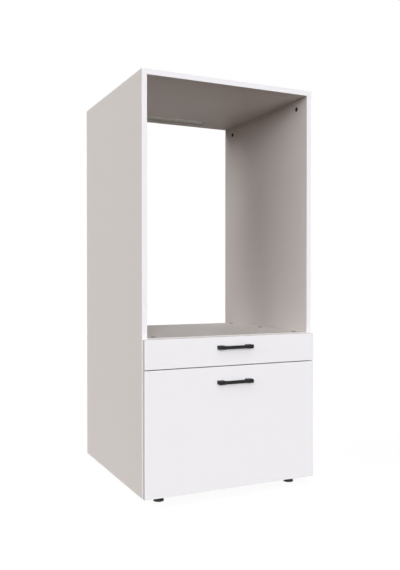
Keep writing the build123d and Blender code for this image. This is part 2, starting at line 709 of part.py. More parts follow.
def spindle(axis):
    """A foot's spindle: thread, hexagon for a spanner, and a plain end in the pad."""
    floor = axis - Z * FOOT_HEIGHT
    foot_end = floor + Z * (PAD_FLOOR + RUNNING_FIT)
    shaft = rod(foot_end, Z, FOOT_HEIGHT - PAD_FLOOR - RUNNING_FIT + SPINDLE_IN_BOARD, SPINDLE_RADIUS)
    shaft = chamfer(shaft.edges().group_by(Axis.Z)[-1], SPINDLE_TIP)
    hexagon = RegularPolygon(SPINDLE_HEX_ACROSS / 2, 6, major_radius=False)
    low = floor + Z * (PAD_HUB_HEIGHT + RUNNING_FIT)
    return shaft + extrude(Plane(origin=low, z_dir=Z) * hexagon, SPINDLE_HEX_HEIGHT)


def write_carcass():
    """Every node of the carcass that no drawer owns."""
    joints = [shelf_joints(top_z, SHELF_CAMS, side) for top_z in (FLOOR_TOP, BOARD) for side in SIDES]
    joints += [top_joints(side) for side in SIDES]
    cams = [joint for cam_joints, _ in joints for joint in cam_joints]
    dowels = [joint for _, dowel_joints in joints for joint in dowel_joints]
    feet = foot_axes()
    band = (0, EDGE_BAND)
    write("left_side_panel", side_panel(-1))
    write("right_side_panel", side_panel(1))
    write("top_panel", top_panel())
    write("niche_floor_panel", shelf_panel(FLOOR_TOP))
    write("bottom_panel", shelf_panel(BOARD, [insert_bore(axis) for axis in feet.values()]))
    write("drawer_bay_back", back_sheet())
    side_bands = [slab((side * SIDE_IN, side * SIDE_OUT), band, (0, SIDE_TOP)) for side in SIDES]
    write("side_edge_bands", *side_bands)
    write("top_edge_band", slab((-SIDE_OUT, SIDE_OUT), band, (SIDE_TOP, CARCASS_HEIGHT)))
    write("niche_floor_edge_band", slab((-SIDE_IN, SIDE_IN), band, (FLOOR_UNDER, FLOOR_TOP)))
    write("bottom_edge_band", slab((-SIDE_IN, SIDE_IN), band, (0, BOARD)))
    write("carcass_cams", *[joint.cam() for joint in cams])
    write("carcass_cam_bolts", *[joint.bolt() for joint in cams])
    write("carcass_dowels", *[joint.dowel() for joint in dowels])
    write("bay_back_screws", *[screw.solid() for top_z in (FLOOR_TOP, BOARD) for screw in back_screws(top_z)])
    rails = [rail for drawer in DRAWERS for rail in drawer.rails]
    write("cabinet_rail_screws", *[screw.solid() for rail in rails for screw in rail.cabinet_screws()])
    write("foot_inserts", *[insert(axis) for axis in feet.values()])
    for name, axis in feet.items():
        write(f"{name}_foot_pad", pad(axis))
        write(f"{name}_foot_spindle", spindle(axis))


os.makedirs("parts", exist_ok=True)
write_carcass()
for drawer in DRAWERS:
    drawer.write_nodes()
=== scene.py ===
"""Dresses the washing machine cabinet and sets up the studio around it."""

from __future__ import annotations

import json
import logging
import math
from collections.abc import Iterable, Sequence
from dataclasses import dataclass
from enum import Enum, IntEnum

import bmesh
import bpy
from bmesh.types import BMEdge, BMFace, BMVert
from mathutils import Matrix, Vector

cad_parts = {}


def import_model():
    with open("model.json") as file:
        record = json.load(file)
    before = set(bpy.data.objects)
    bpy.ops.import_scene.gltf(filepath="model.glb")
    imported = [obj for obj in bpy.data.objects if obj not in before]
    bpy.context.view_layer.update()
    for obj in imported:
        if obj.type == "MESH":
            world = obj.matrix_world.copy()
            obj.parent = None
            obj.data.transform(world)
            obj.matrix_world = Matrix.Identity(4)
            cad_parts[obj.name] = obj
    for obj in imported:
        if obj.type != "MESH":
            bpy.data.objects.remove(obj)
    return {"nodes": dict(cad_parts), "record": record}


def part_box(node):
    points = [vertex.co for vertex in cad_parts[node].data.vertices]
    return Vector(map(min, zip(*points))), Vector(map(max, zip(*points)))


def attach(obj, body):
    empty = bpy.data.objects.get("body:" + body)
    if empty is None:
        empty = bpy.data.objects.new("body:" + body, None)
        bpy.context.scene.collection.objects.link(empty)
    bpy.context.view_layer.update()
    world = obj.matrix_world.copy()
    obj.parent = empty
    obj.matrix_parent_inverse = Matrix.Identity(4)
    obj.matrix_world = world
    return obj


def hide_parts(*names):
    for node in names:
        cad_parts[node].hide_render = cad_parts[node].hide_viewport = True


Colour = tuple[float, float, float]
Point = tuple[float, float, float]
Pair = tuple[float, float]
Span = tuple[Vector, Vector]
Socket = bpy.types.NodeSocket
Inputs = dict[str | int, object]

LOG = logging.getLogger("cabinet")
MM = 0.001
WHITE = (1, 1, 1, 1)
# How far apart two places are, in millimetres, that count as one
TOUCH = 0.02
# How much of its normal a face has in the direction that it looks in, and along an axis that it is square to
FACING = 0.9
SQUARE = 0.9995


class Way(Enum):
    """A direction in the cabinet's own frame, or one that a fitting takes from its place in it."""

    LEFT = (-1, 0, 0)
    RIGHT = (1, 0, 0)
    FRONT = (0, -1, 0)
    REAR = (0, 1, 0)
    DOWN = (0, 0, -1)
    UP = (0, 0, 1)
    OUTWARD = (2, 0, 0)
    INWARD = (-2, 0, 0)

    def at(self, place: Vector) -> Vector:
        """Give the direction for a fitting at a place.

        Args:
            place: The fitting's middle.

        Returns:
            A unit vector. Outward and inward are away from and towards the cabinet's middle plane.
        """
        vector = Vector(self.value)
        if abs(vector.x) > 1:
            vector.x = math.copysign(1, vector.x * place.x)
        return vector


class Layer(IntEnum):
    """Which of its piece's finishes a face takes."""

    FIRST = 0
    SECOND = 1
    THIRD = 2


def srgb(red: int, green: int, blue: int) -> Colour:
    """Turn a colour as it is seen, 0 to 255 a channel, into linear light.

    Args:
        red: The red channel.
        green: The green channel.
        blue: The blue channel.

    Returns:
        The three linear channels.
    """

    def channel(value: int) -> float:
        """Undo the display curve of one channel."""
        share = value / 255
        return share / 12.92 if share <= 0.04045 else ((share + 0.055) / 1.055) ** 2.4

    return channel(red), channel(green), channel(blue)


def shade(colour: Colour, factor: float) -> Colour:
    """Make a colour lighter or darker by a factor."""
    return tuple(min(1.0, channel * factor) for channel in colour)


class NodeSheet:
    """A node tree that starts empty, with short calls for adding and feeding nodes."""

    def __init__(self, owner: bpy.types.Material | bpy.types.World) -> None:
        """Empty the tree.

        Args:
            owner: The material or world that has it.
        """
        owner.use_nodes = True
        self.tree = owner.node_tree
        self.tree.nodes.clear()

    def add(self, kind: str, inputs: Inputs | None = None, **settings: object) -> bpy.types.Node:
        """Add a node.

        Args:
            kind: The node's type.
            inputs: What its inputs get.
            **settings: Properties to set on it.

        Returns:
            The node.
        """
        node = self.tree.nodes.new(kind)
        for name, value in settings.items():
            setattr(node, name, value)
        self.feed(node, inputs or {})
        return node

    def feed(self, node: bpy.types.Node, inputs: Inputs) -> None:
        """Set or link a node's inputs.

        Args:
            node: The node.
            inputs: A value or another node's output for each input, by the input's name or number.
        """
        for name, value in inputs.items():
            if isinstance(value, Socket):
                self.tree.links.new(value, node.inputs[name])
            else:
                node.inputs[name].default_value = value

    def backdrop_rays(self) -> Socket:
        """Add the share, 0 or 1, of rays that show the backdrop: straight, in a reflection or through glass.

        Returns:
            The share.
        """
        rays = self.add("ShaderNodeLightPath").outputs
        inputs = {0: rays["Is Camera Ray"], 1: rays["Is Glossy Ray"]}
        first = self.add("ShaderNodeMath", inputs, operation="MAXIMUM")
        inputs = {0: first.outputs[0], 1: rays["Is Transmission Ray"]}
        return self.add("ShaderNodeMath", inputs, operation="MAXIMUM").outputs[0]


class FinishSheet(NodeSheet):
    """The node tree of a finish: a Principled shader, and the patterns that feed it."""

    def __init__(self, name: str) -> None:
        """Start the finish's material.

        Args:
            name: The material's name.
        """
        self.material = bpy.data.materials.new(name)
        super().__init__(self.material)
        self.shader = self.add("ShaderNodeBsdfPrincipled")
        self.add("ShaderNodeOutputMaterial", {"Surface": self.shader.outputs["BSDF"]})
        self.coordinates = self.add("ShaderNodeTexCoord").outputs["Object"]

    def give(self, inputs: Inputs) -> None:
        """Set or link the shader's own inputs."""
        self.feed(self.shader, inputs)

    def stretched(self, stretch: Point) -> Socket:
        """Add the piece's own coordinates, squeezed so that a pattern on them comes out longer."""
        inputs = {"Scale": [1 / factor for factor in stretch], "Vector": self.coordinates}
        return self.add("ShaderNodeMapping", inputs).outputs["Vector"]

    def noise(self, size: float, detail: float = 2.0, stretch: Point = (1, 1, 1)) -> Socket:
        """Add noise of about 0 to 1, whose features have a size in metres and are longer by a stretch."""
        inputs = {"Scale": 1 / size, "Detail": detail, "Vector": self.stretched(stretch)}
        return self.add("ShaderNodeTexNoise", inputs).outputs["Fac"]

    def cells(self, size: float, stretch: Point = (1, 1, 1), feature: str = "F1") -> bpy.types.Node:
        """Add a pattern of cells that have a size in metres and are longer by a stretch."""
        inputs = {"Scale": 1 / size, "Vector": self.stretched(stretch)}
        return self.add("ShaderNodeTexVoronoi", inputs, feature=feature)

    def weigh(self, first: Socket, second: Socket, share: float) -> Socket:
        """Mix two values, with a share of 0 to 1 of the second."""
        inputs = {0: share, 2: first, 3: second}
        return self.add("ShaderNodeMix", inputs, data_type="FLOAT").outputs[0]

    def spread(self, value: Socket, low: float, high: float, span: Pair = (0.3, 0.7)) -> Socket:
        """Map a span of a value's range onto the range from low to high."""
        inputs = {"Value": value, "From Min": span[0], "From Max": span[1], "To Min": low, "To Max": high}
        return self.add("ShaderNodeMapRange", inputs).outputs["Result"]

    def blend(self, value: Socket, *stops: tuple[float, Colour]) -> Socket:
        """Turn a value into a colour.

        Args:
            value: The value.
            *stops: Places along it, from low to high, each with its colour.

        Returns:
            The colour.
        """
        ramp = self.add("ShaderNodeValToRGB", {"Fac": value})
        elements = ramp.color_ramp.elements
        while len(elements) < len(stops):
            elements.new(1.0)
        for element, (position, colour) in zip(elements, stops):
            element.position = position
            element.color = (*colour, 1)
        return ramp.outputs["Color"]

    def tint(self, value: Socket, colour: Colour, change: float) -> None:
        """Give the shader a colour that a noise makes lighter and darker, by a share of up to the change."""
        stops = (0.3, shade(colour, 1 - change)), (0.7, shade(colour, 1 + change))
        self.give({"Base Color": self.blend(value, *stops)})

    def rough(self, value: Socket, low: float, high: float) -> None:
        """Give the shader a roughness that a noise varies."""
        self.give({"Roughness": self.spread(value, low, high)})

    def relief(self, height: Socket, depth: float) -> None:
        """Give the shader a bump, from a height of about 0 to 1 and the depth of one unit in metres."""
        bump = self.add("ShaderNodeBump", {"Distance": depth, "Height": height})
        self.give({"Normal": bump.outputs["Normal"]})


@dataclass(frozen=True)
class Laminate:
    """The face of a melamine board: matt, with a fine pearl relief and hardly any change of colour."""

    name: str
    colour: Colour
    pearl: float = 1.1 * MM
    cloud: float = 70 * MM
    depth: float = 0.012 * MM
    roughness: Pair = (0.5, 0.62)
    change: float = 0.008
    specular: float = 0.12

    def material(self) -> bpy.types.Material:
        """Build the laminate.

        Returns:
            Its material.
        """
        sheet = FinishSheet(self.name)
        pearls = sheet.cells(self.pearl, feature="SMOOTH_F1").outputs["Distance"]
        fine = sheet.noise(self.pearl / 3, detail=3.0)
        cloud = sheet.noise(self.cloud, detail=1.0)
        sheet.tint(sheet.weigh(fine, cloud, share=0.25), self.colour, self.change)
        sheet.rough(fine, *self.roughness)
        sheet.relief(sheet.weigh(pearls, fine, share=0.5), self.depth)
        sheet.give({"Specular IOR Level": self.specular})
        return sheet.material


@dataclass(frozen=True)
class ChipCore:
    """The open edge of a chipboard: pressed flakes, longer along the board than through it."""

    name: str
    stretch: Point
    flake: float = 1.0 * MM
    depth: float = 0.12 * MM
    roughness: Pair = (0.75, 0.92)

    def material(self) -> bpy.types.Material:
        """Build the chipboard.

        Returns:
            Its material.
        """
        sheet = FinishSheet(self.name)
        flakes = sheet.cells(self.flake, self.stretch).outputs
        tones = sheet.add("ShaderNodeSeparateColor", {"Color": flakes["Color"]})
        fibre = sheet.noise(self.flake / 4, detail=3.0, stretch=self.stretch)
        dark, brown = (0.15, srgb(121, 88, 56)), (0.4, srgb(172, 136, 94))
        straw, pale = (0.65, srgb(198, 166, 122)), (0.9, srgb(222, 198, 158))
        mix = sheet.weigh(tones.outputs["Red"], fibre, share=0.35)
        sheet.give({"Base Color": sheet.blend(mix, dark, brown, straw, pale)})
        sheet.rough(fibre, *self.roughness)
        sheet.relief(sheet.weigh(flakes["Distance"], fibre, share=0.5), self.depth)
        return sheet.material


@dataclass(frozen=True)
class Hardboard:
    """The bare rear face of hardboard: brown felted fibres with the print of the wire screen under them."""

    name: str
    screen: float = 1.3 * MM
    fibre: float = 0.5 * MM
    cloud: float = 25 * MM
    depth: float = 0.08 * MM
    roughness: Pair = (0.7, 0.88)

    def material(self) -> bpy.types.Material:
        """Build the hardboard.

        Returns:
            Its material.
        """
        sheet = FinishSheet(self.name)
        weave = sheet.weigh(self.wires(sheet, "X"), self.wires(sheet, "Z"), share=0.5)
        fibre = sheet.noise(self.fibre, detail=4.0, stretch=(3, 3, 3))
        cloud = sheet.noise(self.cloud, detail=3.0)
        stops = (0.3, srgb(112, 80, 54)), (0.5, srgb(133, 98, 68)), (0.7, srgb(152, 116, 84))
        sheet.give({"Base Color": sheet.blend(sheet.weigh(fibre, cloud, share=0.4), *stops)})
        sheet.rough(fibre, *self.roughness)
        sheet.relief(sheet.weigh(weave, fibre, share=0.4), self.depth)
        return sheet.material

    def wires(self, sheet: FinishSheet, axis: str) -> Socket:
        """Add the print, 0 to 1 high, of the screen's wires that lie side by side along an axis."""
        inputs = {"Scale": 1 / (self.screen * math.pi), "Distortion": 0.4, "Vector": sheet.coordinates}
        return sheet.add("ShaderNodeTexWave", inputs, wave_type="BANDS", bands_direction=axis).outputs["Fac"]


@dataclass(frozen=True)
class Coat:
    """A smooth skin of paint or plastic: one colour, a fine grain and a roughness that varies a little.

    Its spots are that many times larger than its grain.
    """

    name: str
    colour: Colour
    roughness: Pair
    grain: float
    depth: float
    change: float = 0.01
    specular: float = 0.5
    transmission: float = 0.0
    spots: float = 30.0

    def material(self) -> bpy.types.Material:
        """Build the coat.

        Returns:
            Its material.
        """
        sheet = FinishSheet(self.name)
        grain = sheet.noise(self.grain, detail=3.0)
        mottle = sheet.weigh(grain, sheet.noise(self.grain * self.spots), share=0.3)
        sheet.tint(mottle, self.colour, self.change)
        sheet.rough(mottle, *self.roughness)
        sheet.relief(grain, self.depth)
        sheet.give({"Specular IOR Level": self.specular, "Transmission Weight": self.transmission})
        return sheet.material


@dataclass(frozen=True)
class Metal:
    """Bare or plated metal: a colour, a roughness, and lines or grain from how it was made."""

    name: str
    colour: Colour
    roughness: Pair
    grain: float
    depth: float
    stretch: Point = (1, 1, 1)
    cloud: float = 12 * MM
    change: float = 0.05

    def material(self) -> bpy.types.Material:
        """Build the metal.

        Returns:
            Its material.
        """
        sheet = FinishSheet(self.name)
        lines = sheet.noise(self.grain, detail=3.0, stretch=self.stretch)
        cloud = sheet.noise(self.cloud, detail=3.0)
        sheet.tint(sheet.weigh(lines, cloud, share=0.5), self.colour, self.change)
        sheet.rough(sheet.weigh(lines, cloud, share=0.3), *self.roughness)
        sheet.relief(lines, self.depth)
        sheet.give({"Metallic": 1.0})
        return sheet.material


@dataclass(frozen=True)
class Beech:
    """Turned beech: pale brown, with short dark rays along the grain."""

    name: str
    ray: float = 0.35 * MM
    stretch: Point = (5, 1, 3)
    depth: float = 0.04 * MM
    roughness: Pair = (0.55, 0.7)

    def material(self) -> bpy.types.Material:
        """Build the wood.

        Returns:
            Its material.
        """
        sheet = FinishSheet(self.name)
        grain = sheet.noise(self.ray * 3, detail=4.0, stretch=self.stretch)
        rays = sheet.cells(self.ray, self.stretch).outputs["Distance"]
        stops = (0.2, srgb(176, 134, 92)), (0.45, srgb(210, 174, 130)), (0.8, srgb(226, 194, 152))
        sheet.give({"Base Color": sheet.blend(sheet.weigh(grain, rays, share=0.3), *stops)})
        sheet.rough(grain, *self.roughness)
        sheet.relief(grain, self.depth)
        return sheet.material


BOARD_WHITE = srgb(230, 224, 221)
FRONT_WHITE = srgb(237, 236, 240)
FINISHES = (
    Laminate("carcass_board", BOARD_WHITE),
    Laminate("drawer_board", BOARD_WHITE),
    Laminate("front_board", FRONT_WHITE, 2.2 * MM, depth=0.008 * MM, roughness=(0.45, 0.55), change=0.006),
    ChipCore("upright_core", (0.6, 2.6, 2.6)),
    ChipCore("level_core", (2.6, 2.6, 0.6)),
    ChipCore("facing_core", (2.6, 0.6, 2.6)),
    # Painted shade: a dark grey on the walls of the top's cut-out, standing in for the shade in the slot
    Coat("cut_out_painted_shade", srgb(118, 113, 107), (0.6, 0.75), 0.7 * MM, 0.05 * MM, change=0.06),
    Coat("edge_band", FRONT_WHITE, (0.42, 0.52), 0.5 * MM, 0.004 * MM, specular=0.3),
    # Painted shade: a grey on the drawer fronts' edges and on the bands behind the fronts, standing in for
    # the shade there
    Coat("front_edge_painted_shade", srgb(208, 204, 202), (0.5, 0.62), 0.5 * MM, 0.004 * MM, specular=0.15),
    Laminate("thin_sheet", srgb(224, 220, 214), pearl=1.6 * MM, roughness=(0.42, 0.55)),
    Hardboard("bare_hardboard"),
    Coat("cam_zinc", srgb(62, 59, 56), (0.5, 0.65), 0.25 * MM, 0.02 * MM, change=0.12, specular=0.03),
    Metal("screw_steel", srgb(188, 188, 182), (0.24, 0.4), 0.2 * MM, 0.006 * MM),
    Metal("rail_steel", srgb(190, 194, 199), (0.26, 0.4), 0.25 * MM, 0.004 * MM, stretch=(1, 40, 1)),
    Metal("cage_steel", srgb(176, 178, 178), (0.3, 0.45), 0.25 * MM, 0.004 * MM),
    Metal("bearing_steel", srgb(206, 206, 210), (0.06, 0.12), 0.4 * MM, 0.001 * MM, change=0.02),
    Beech("beech"),
    Coat("handle_black", srgb(15, 15, 16), (0.46, 0.6), 0.22 * MM, 0.03 * MM, change=0.12, specular=0.22),
    Coat("foot_plastic", srgb(44, 44, 44), (0.34, 0.5), 0.3 * MM, 0.02 * MM, change=0.1),
    Coat("bumper_soft", srgb(236, 236, 232), (0.12, 0.25), 1.0 * MM, 0.01 * MM, transmission=0.6),
)


class Workpiece:
    """A shape on the bench, in millimetres, until it is set down as a piece of the model."""

    def __init__(self, source: bpy.types.Mesh | None = None, scale: float = 1.0) -> None:
        """Start empty, or from a mesh whose loose triangles are merged.

        Args:
            source: The mesh to start from.
            scale: What its sizes are multiplied by.
        """
        self.mesh = bmesh.new()
        if source is not None:
            self.mesh.from_mesh(source)
            bmesh.ops.scale(self.mesh, vec=(scale,) * 3, verts=self.mesh.verts)
            bmesh.ops.remove_doubles(self.mesh, verts=self.mesh.verts, dist=TOUCH / 10)

    def block(self, low: Vector, high: Vector) -> None:
        """Add a block.

        Args:
            low: Its lowest corner.
            high: Its highest corner.
        """
        corners = bmesh.ops.create_cube(self.mesh, size=1)["verts"]
        bmesh.ops.scale(self.mesh, vec=high - low, verts=corners)
        bmesh.ops.translate(self.mesh, vec=(low + high) / 2, verts=corners)

    def line(self, points: Iterable[Point]) -> tuple[list[BMVert], list[BMEdge]]:
        """Add a line of edges through points, and give its corners and its edges."""
        corners = [self.mesh.verts.new(point) for point in points]
        return corners, [self.mesh.edges.new(pair) for pair in zip(corners, corners[1:])]

    def turn(self, outline: Sequence[Pair], steps: int = 40, angle: float = math.tau) -> None:
        """Turn an outline about the upright axis, and close what it leaves open.

        Args:
            outline: Radius and height of each corner, in order.
            steps: How many steps the turn has.
            angle: How far it goes.
        """
        corners, edges = self.line((radius, 0, height) for radius, height in outline)
        if outline[0][0] > 0:
            edges.append(self.mesh.edges.new((corners[-1], corners[0])))
        full = angle == math.tau
        geometry = corners + edges
        if not full:
            geometry.append(bmesh.ops.contextual_create(self.mesh, geom=edges)["faces"][0])
        bmesh.ops.spin(self.mesh, geom=geometry, axis=(0, 0, 1), angle=angle, steps=steps, use_merge=full)
        self.close()

    def close(self) -> None:
        """Merge doubles, fill what is open, and turn the faces outwards."""
        bmesh.ops.remove_doubles(self.mesh, verts=self.mesh.verts, dist=TOUCH / 20)
        rims = [edge for edge in self.mesh.edges if edge.is_boundary]
        if rims:
            bmesh.ops.holes_fill(self.mesh, edges=rims)
        bmesh.ops.recalc_face_normals(self.mesh, faces=self.mesh.faces)

    def score(self, point: Point, across: Point, items: Sequence[object] = (), **settings: object) -> None:
        """Cut faces along a plane, without parting them.

        Args:
            point: A point of the plane.
            across: The plane's normal.
            items: The points, edges and faces to cut, or all.
            **settings: What else the cut is told.
        """
        items = items or [*self.mesh.verts, *self.mesh.edges, *self.mesh.faces]
        settings = {"dist": TOUCH / 10, "plane_co": point, "plane_no": across} | settings
        bmesh.ops.bisect_plane(self.mesh, geom=items, **settings)

    def trim(self, low: float, high: float) -> None:
        """Cut the shape off and close the cuts.

        Args:
            low: The height that nothing stays below.
            high: The height that nothing stays above.
        """
        for height, side in ((low, -1), (high, 1)):
            self.score((0, 0, height), (0, 0, side), dist=TOUCH / 100, clear_outer=True)
        self.close()

    def taper(self, start: float, end: float) -> None:
        """Draw the lowest part of the shape in towards the upright axis.

        Args:
            start: The height that the taper starts at.
            end: What is left of the radius at the lowest point, as a share.
        """
        low = min(point.co.z for point in self.mesh.verts)
        for point in self.mesh.verts:
            if point.co.z < start:
                point.co.xy *= 1 - (1 - end) * (start - point.co.z) / (start - low)

    def ease(
        self, width: float, segments: int = 2, angle: float = 30, edges: Iterable[BMEdge] | None = None
    ) -> None:
        """Round edges.

        Args:
            width: How far the rounding reaches from the edge.
            segments: How many faces it has.
            angle: Edges that turn more than this, in degrees, are rounded.
            edges: The edges to choose from, or all.
        """
        chosen = self.mesh.edges if edges is None else edges
        sharp = [e for e in chosen if e.is_manifold and e.calc_face_angle() > math.radians(angle)]
        bmesh.ops.bevel(
            self.mesh, geom=sharp, offset=width, segments=segments, profile=0.5, affect="EDGES", material=-1,
            clamp_overlap=True,
        )

    def cross_face(self, radius: float, reach: float, width: float, depth: float) -> list[BMEdge]:
        """Draw a round head's face at the origin, looking up, with a cross sunk in it for the driver.

        Args:
            radius: The face's radius.
            reach: How far each arm of the cross reaches.
            width: How wide an arm is.
            depth: How deep the cross is.

        Returns:
            The face's rim.
        """
        mesh, narrowing = self.mesh, 0.6
        # The grid's points lie 0.2, 0.6 and 1 from its middle: on an arm's side, at its end and on the rim
        grid = bmesh.ops.create_grid(mesh, x_segments=5, y_segments=5, size=1)["verts"]
        for point in grid:
            if max(map(abs, point.co)) > 0.9:
                point.co = point.co.normalized() * radius
            else:
                for i in (0, 1):
                    point.co[i] = math.copysign(reach if abs(point.co[i]) > 0.5 else width / 2, point.co[i])
        middles = {face: face.calc_center_median() for point in grid for face in point.link_faces}
        near = {face: at for face, at in middles.items() if at.length < reach}
        arms = [face for face, at in near.items() if min(abs(at.x), abs(at.y)) < width / 4]
        rim = [edge for face in middles for edge in face.edges if edge.is_boundary]
        sunk = of_kind(BMVert, bmesh.ops.extrude_face_region(mesh, geom=arms)["geom"])
        bmesh.ops.delete(mesh, geom=arms, context="FACES")
        bmesh.ops.scale(mesh, vec=(narrowing, narrowing, 1), verts=sunk)
        bmesh.ops.translate(mesh, vec=(0, 0, -depth), verts=sunk)
        return rim

    def draw_out(self, rim: list[BMEdge], outline: Sequence[Pair]) -> None:
        """Draw a rim out through rings, and close the last one.

        Args:
            rim: The rim to start from.
            outline: Radius and height of each ring.
        """
        for radius, height in outline:
            made = bmesh.ops.extrude_edge_only(self.mesh, edges=rim)["geom"]
            ring = of_kind(BMVert, made)
            rim = [edge for edge in of_kind(BMEdge, made) if all(point in ring for point in edge.verts)]
            now = max(point.co.xy.length for point in ring)
            bmesh.ops.scale(self.mesh, vec=(radius / now, radius / now, 1), verts=ring)
            bmesh.ops.translate(self.mesh, vec=(0, 0, height - ring[0].co.z), verts=ring)
        self.close()

    def stamp(self, shape: Workpiece, places: Iterable[Matrix] = (Matrix(),)) -> None:
        """Add copies of another shape.

        Args:
            shape: The shape.
            places: Where each copy goes.
        """
        pattern = bpy.data.meshes.new("pattern")
        shape.mesh.to_mesh(pattern)
        for place in places:
            copy = pattern.copy()
            copy.transform(place)
            if place.is_negative:
                copy.flip_normals()
            self.mesh.from_mesh(copy)
            bpy.data.meshes.remove(copy)
        bpy.data.meshes.remove(pattern)

    def islands(self) -> list[list[BMVert]]:
        """Find the separate solids.

        Returns:
            The points of each.
        """
        # A dictionary keeps its order, so the solids come in the same order in each run
        left = dict.fromkeys(self.mesh.verts)
        found = []
        while left:
            group, reached = [], [left.popitem()[0]]
            while reached:
                point = reached.pop()
                group.append(point)
                near = [edge.other_vert(point) for edge in point.link_edges]
                for other in [other for other in near if other in left]:
                    del left[other]
                    reached.append(other)
            found.append(group)
        return found

    def paint(self, faces: Iterable[BMFace], layer: Layer) -> None:
        """Give faces one of the piece's finishes."""
        for face in faces:
            face.material_index = layer


def of_kind(kind: type, items: Iterable[object]) -> list:
    """Pick the items of one kind, such as the points."""
    return [item for item in items if isinstance(item, kind)]


def rise(edge: BMEdge) -> float:
    """Tell how much higher one end of an edge is than the other."""
    return abs(edge.verts[0].co.z - edge.verts[1].co.z)


def span_of(points: Iterable[BMVert]) -> Span:
    """Find the lowest and the highest corner of a set of points."""
    rows = [point.co for point in points]
    return Vector(map(min, *rows)), Vector(map(max, *rows))


def wound_thread(core: float, crest: float, pitch: float, ends: Pair, steps: int = 16) -> Workpiece:
    """Wind a thread about the upright axis.

    Args:
        core: The radius between its ridges.
        crest: The radius of its ridges.
        pitch: How far it climbs in a turn.
        ends: The heights that it starts and ends at.
        steps: How many steps a turn has.

    Returns:
        The thread, closed at both ends.
    """
    low, high = ends
    turn = Workpiece()
    ridge = ((core, 0), (core, 0.2), (crest, 0.5), (crest, 0.6), (core, 0.9), (core, 1))
    corners, edges = turn.line((radius, 0, pitch * share) for radius, share in ridge)
    climb = (0, 0, pitch / steps)
    bmesh.ops.spin(turn.mesh, geom=corners + edges, axis=(0, 0, 1), angle=math.tau, steps=steps, dvec=climb)
    thread = Workpiece()
    # Spare turns reach beyond the lower end, so that the trimming leaves a whole thread
    spare = 2
    count = math.ceil((high - low) / pitch) + spare
    thread.stamp(turn, [Matrix.Translation((0, 0, low + pitch * (i - spare))) for i in range(count)])
    turn.mesh.free()
    bmesh.ops.remove_doubles(thread.mesh, verts=thread.mesh.verts, dist=TOUCH / 2)
    thread.trim(low, high)
    return thread


class Cabinet:
    """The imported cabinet: its nodes, the bodies they move with, their slots and the finishes."""

    def __init__(self) -> None:
        """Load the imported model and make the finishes."""
        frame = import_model()
        self.nodes = frame["nodes"]
        self.slots = {row["node"]: row["material_slot"] for row in frame["record"]["subparts"]}
        groups = frame["record"]["behaviour"]["bodies"]
        self.bodies = {node: body for body, members in groups.items() for node in members}
        self.finishes = {finish.name: finish.material() for finish in FINISHES}
        self.waiting = set(self.nodes)

    def copy(self, node: str) -> Workpiece:
        """Start a workpiece from a CAD node's shape."""
        return Workpiece(self.nodes[node].data, 1 / MM)

    def spans(self, node: str) -> list[Span]:
        """Find where the solids of a CAD node are, in millimetres.

        Args:
            node: The node.

        Returns:
            The lowest and the highest corner of each solid.
        """
        work = self.copy(node)
        found = [span_of(group) for group in work.islands()]
        work.mesh.free()
        return found

    def span(self, node: str) -> Span:
        """Give a CAD node's lowest and highest corner, in millimetres."""
        low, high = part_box(node)
        return low / MM, high / MM

    def set_down(
        self, work: Workpiece, node: str, finishes: Sequence[str] = (), angle: float = 35, flat: bool = False
    ) -> bpy.types.Object:
        """Finish a workpiece and set it down as the piece that stands for a CAD node.

        Args:
            work: The workpiece.
            node: The CAD node, whose body the piece moves with.
            finishes: Its finishes in the order of its layers, or the node's own slot alone.
            angle: Edges that turn more than this, in degrees, stay crisp.
            flat: Whether its faces square to the axes are flat, without a share in the rounding next to them.

        Returns:
            The piece's object.
        """
        name = f"{node}_dressed"
        bmesh.ops.scale(work.mesh, vec=(MM,) * 3, verts=work.mesh.verts)
        mesh = bpy.data.meshes.new(name)
        work.mesh.to_mesh(mesh)
        work.mesh.free()
        mesh.shade_smooth()
        mesh.set_sharp_from_angle(angle=math.radians(angle))
        for face in mesh.polygons:
            face.use_smooth = not flat or max(map(abs, face.normal)) < SQUARE
        for finish in finishes or (self.slots[node],):
            mesh.materials.append(self.finishes[finish])
        piece = bpy.data.objects.new(name, mesh)
        bpy.context.scene.collection.objects.link(piece)
        level = piece.modifiers.new("level", "WEIGHTED_NORMAL")
        level.keep_sharp = True
        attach(piece, self.bodies[node])
        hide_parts(node)
        self.waiting.discard(node)
        LOG.info("%s: %d faces", name, len(mesh.polygons))
        return piece

    def dress_rest(self) -> None:
        """Give each CAD node that no piece stands for the finish of its slot."""
        for name in sorted(self.waiting):
            mesh = self.nodes[name].data
            mesh.materials.clear()
            mesh.materials.append(self.finishes[self.slots[name]])
            LOG.info("%s: shown as packed", name)


@dataclass(frozen=True)
class Assembly:
    """Something that is built as one or more pieces of the cabinet."""

    cabinet: Cabinet

    def build(self) -> None:
        """Make its pieces and set them down."""
        raise NotImplementedError


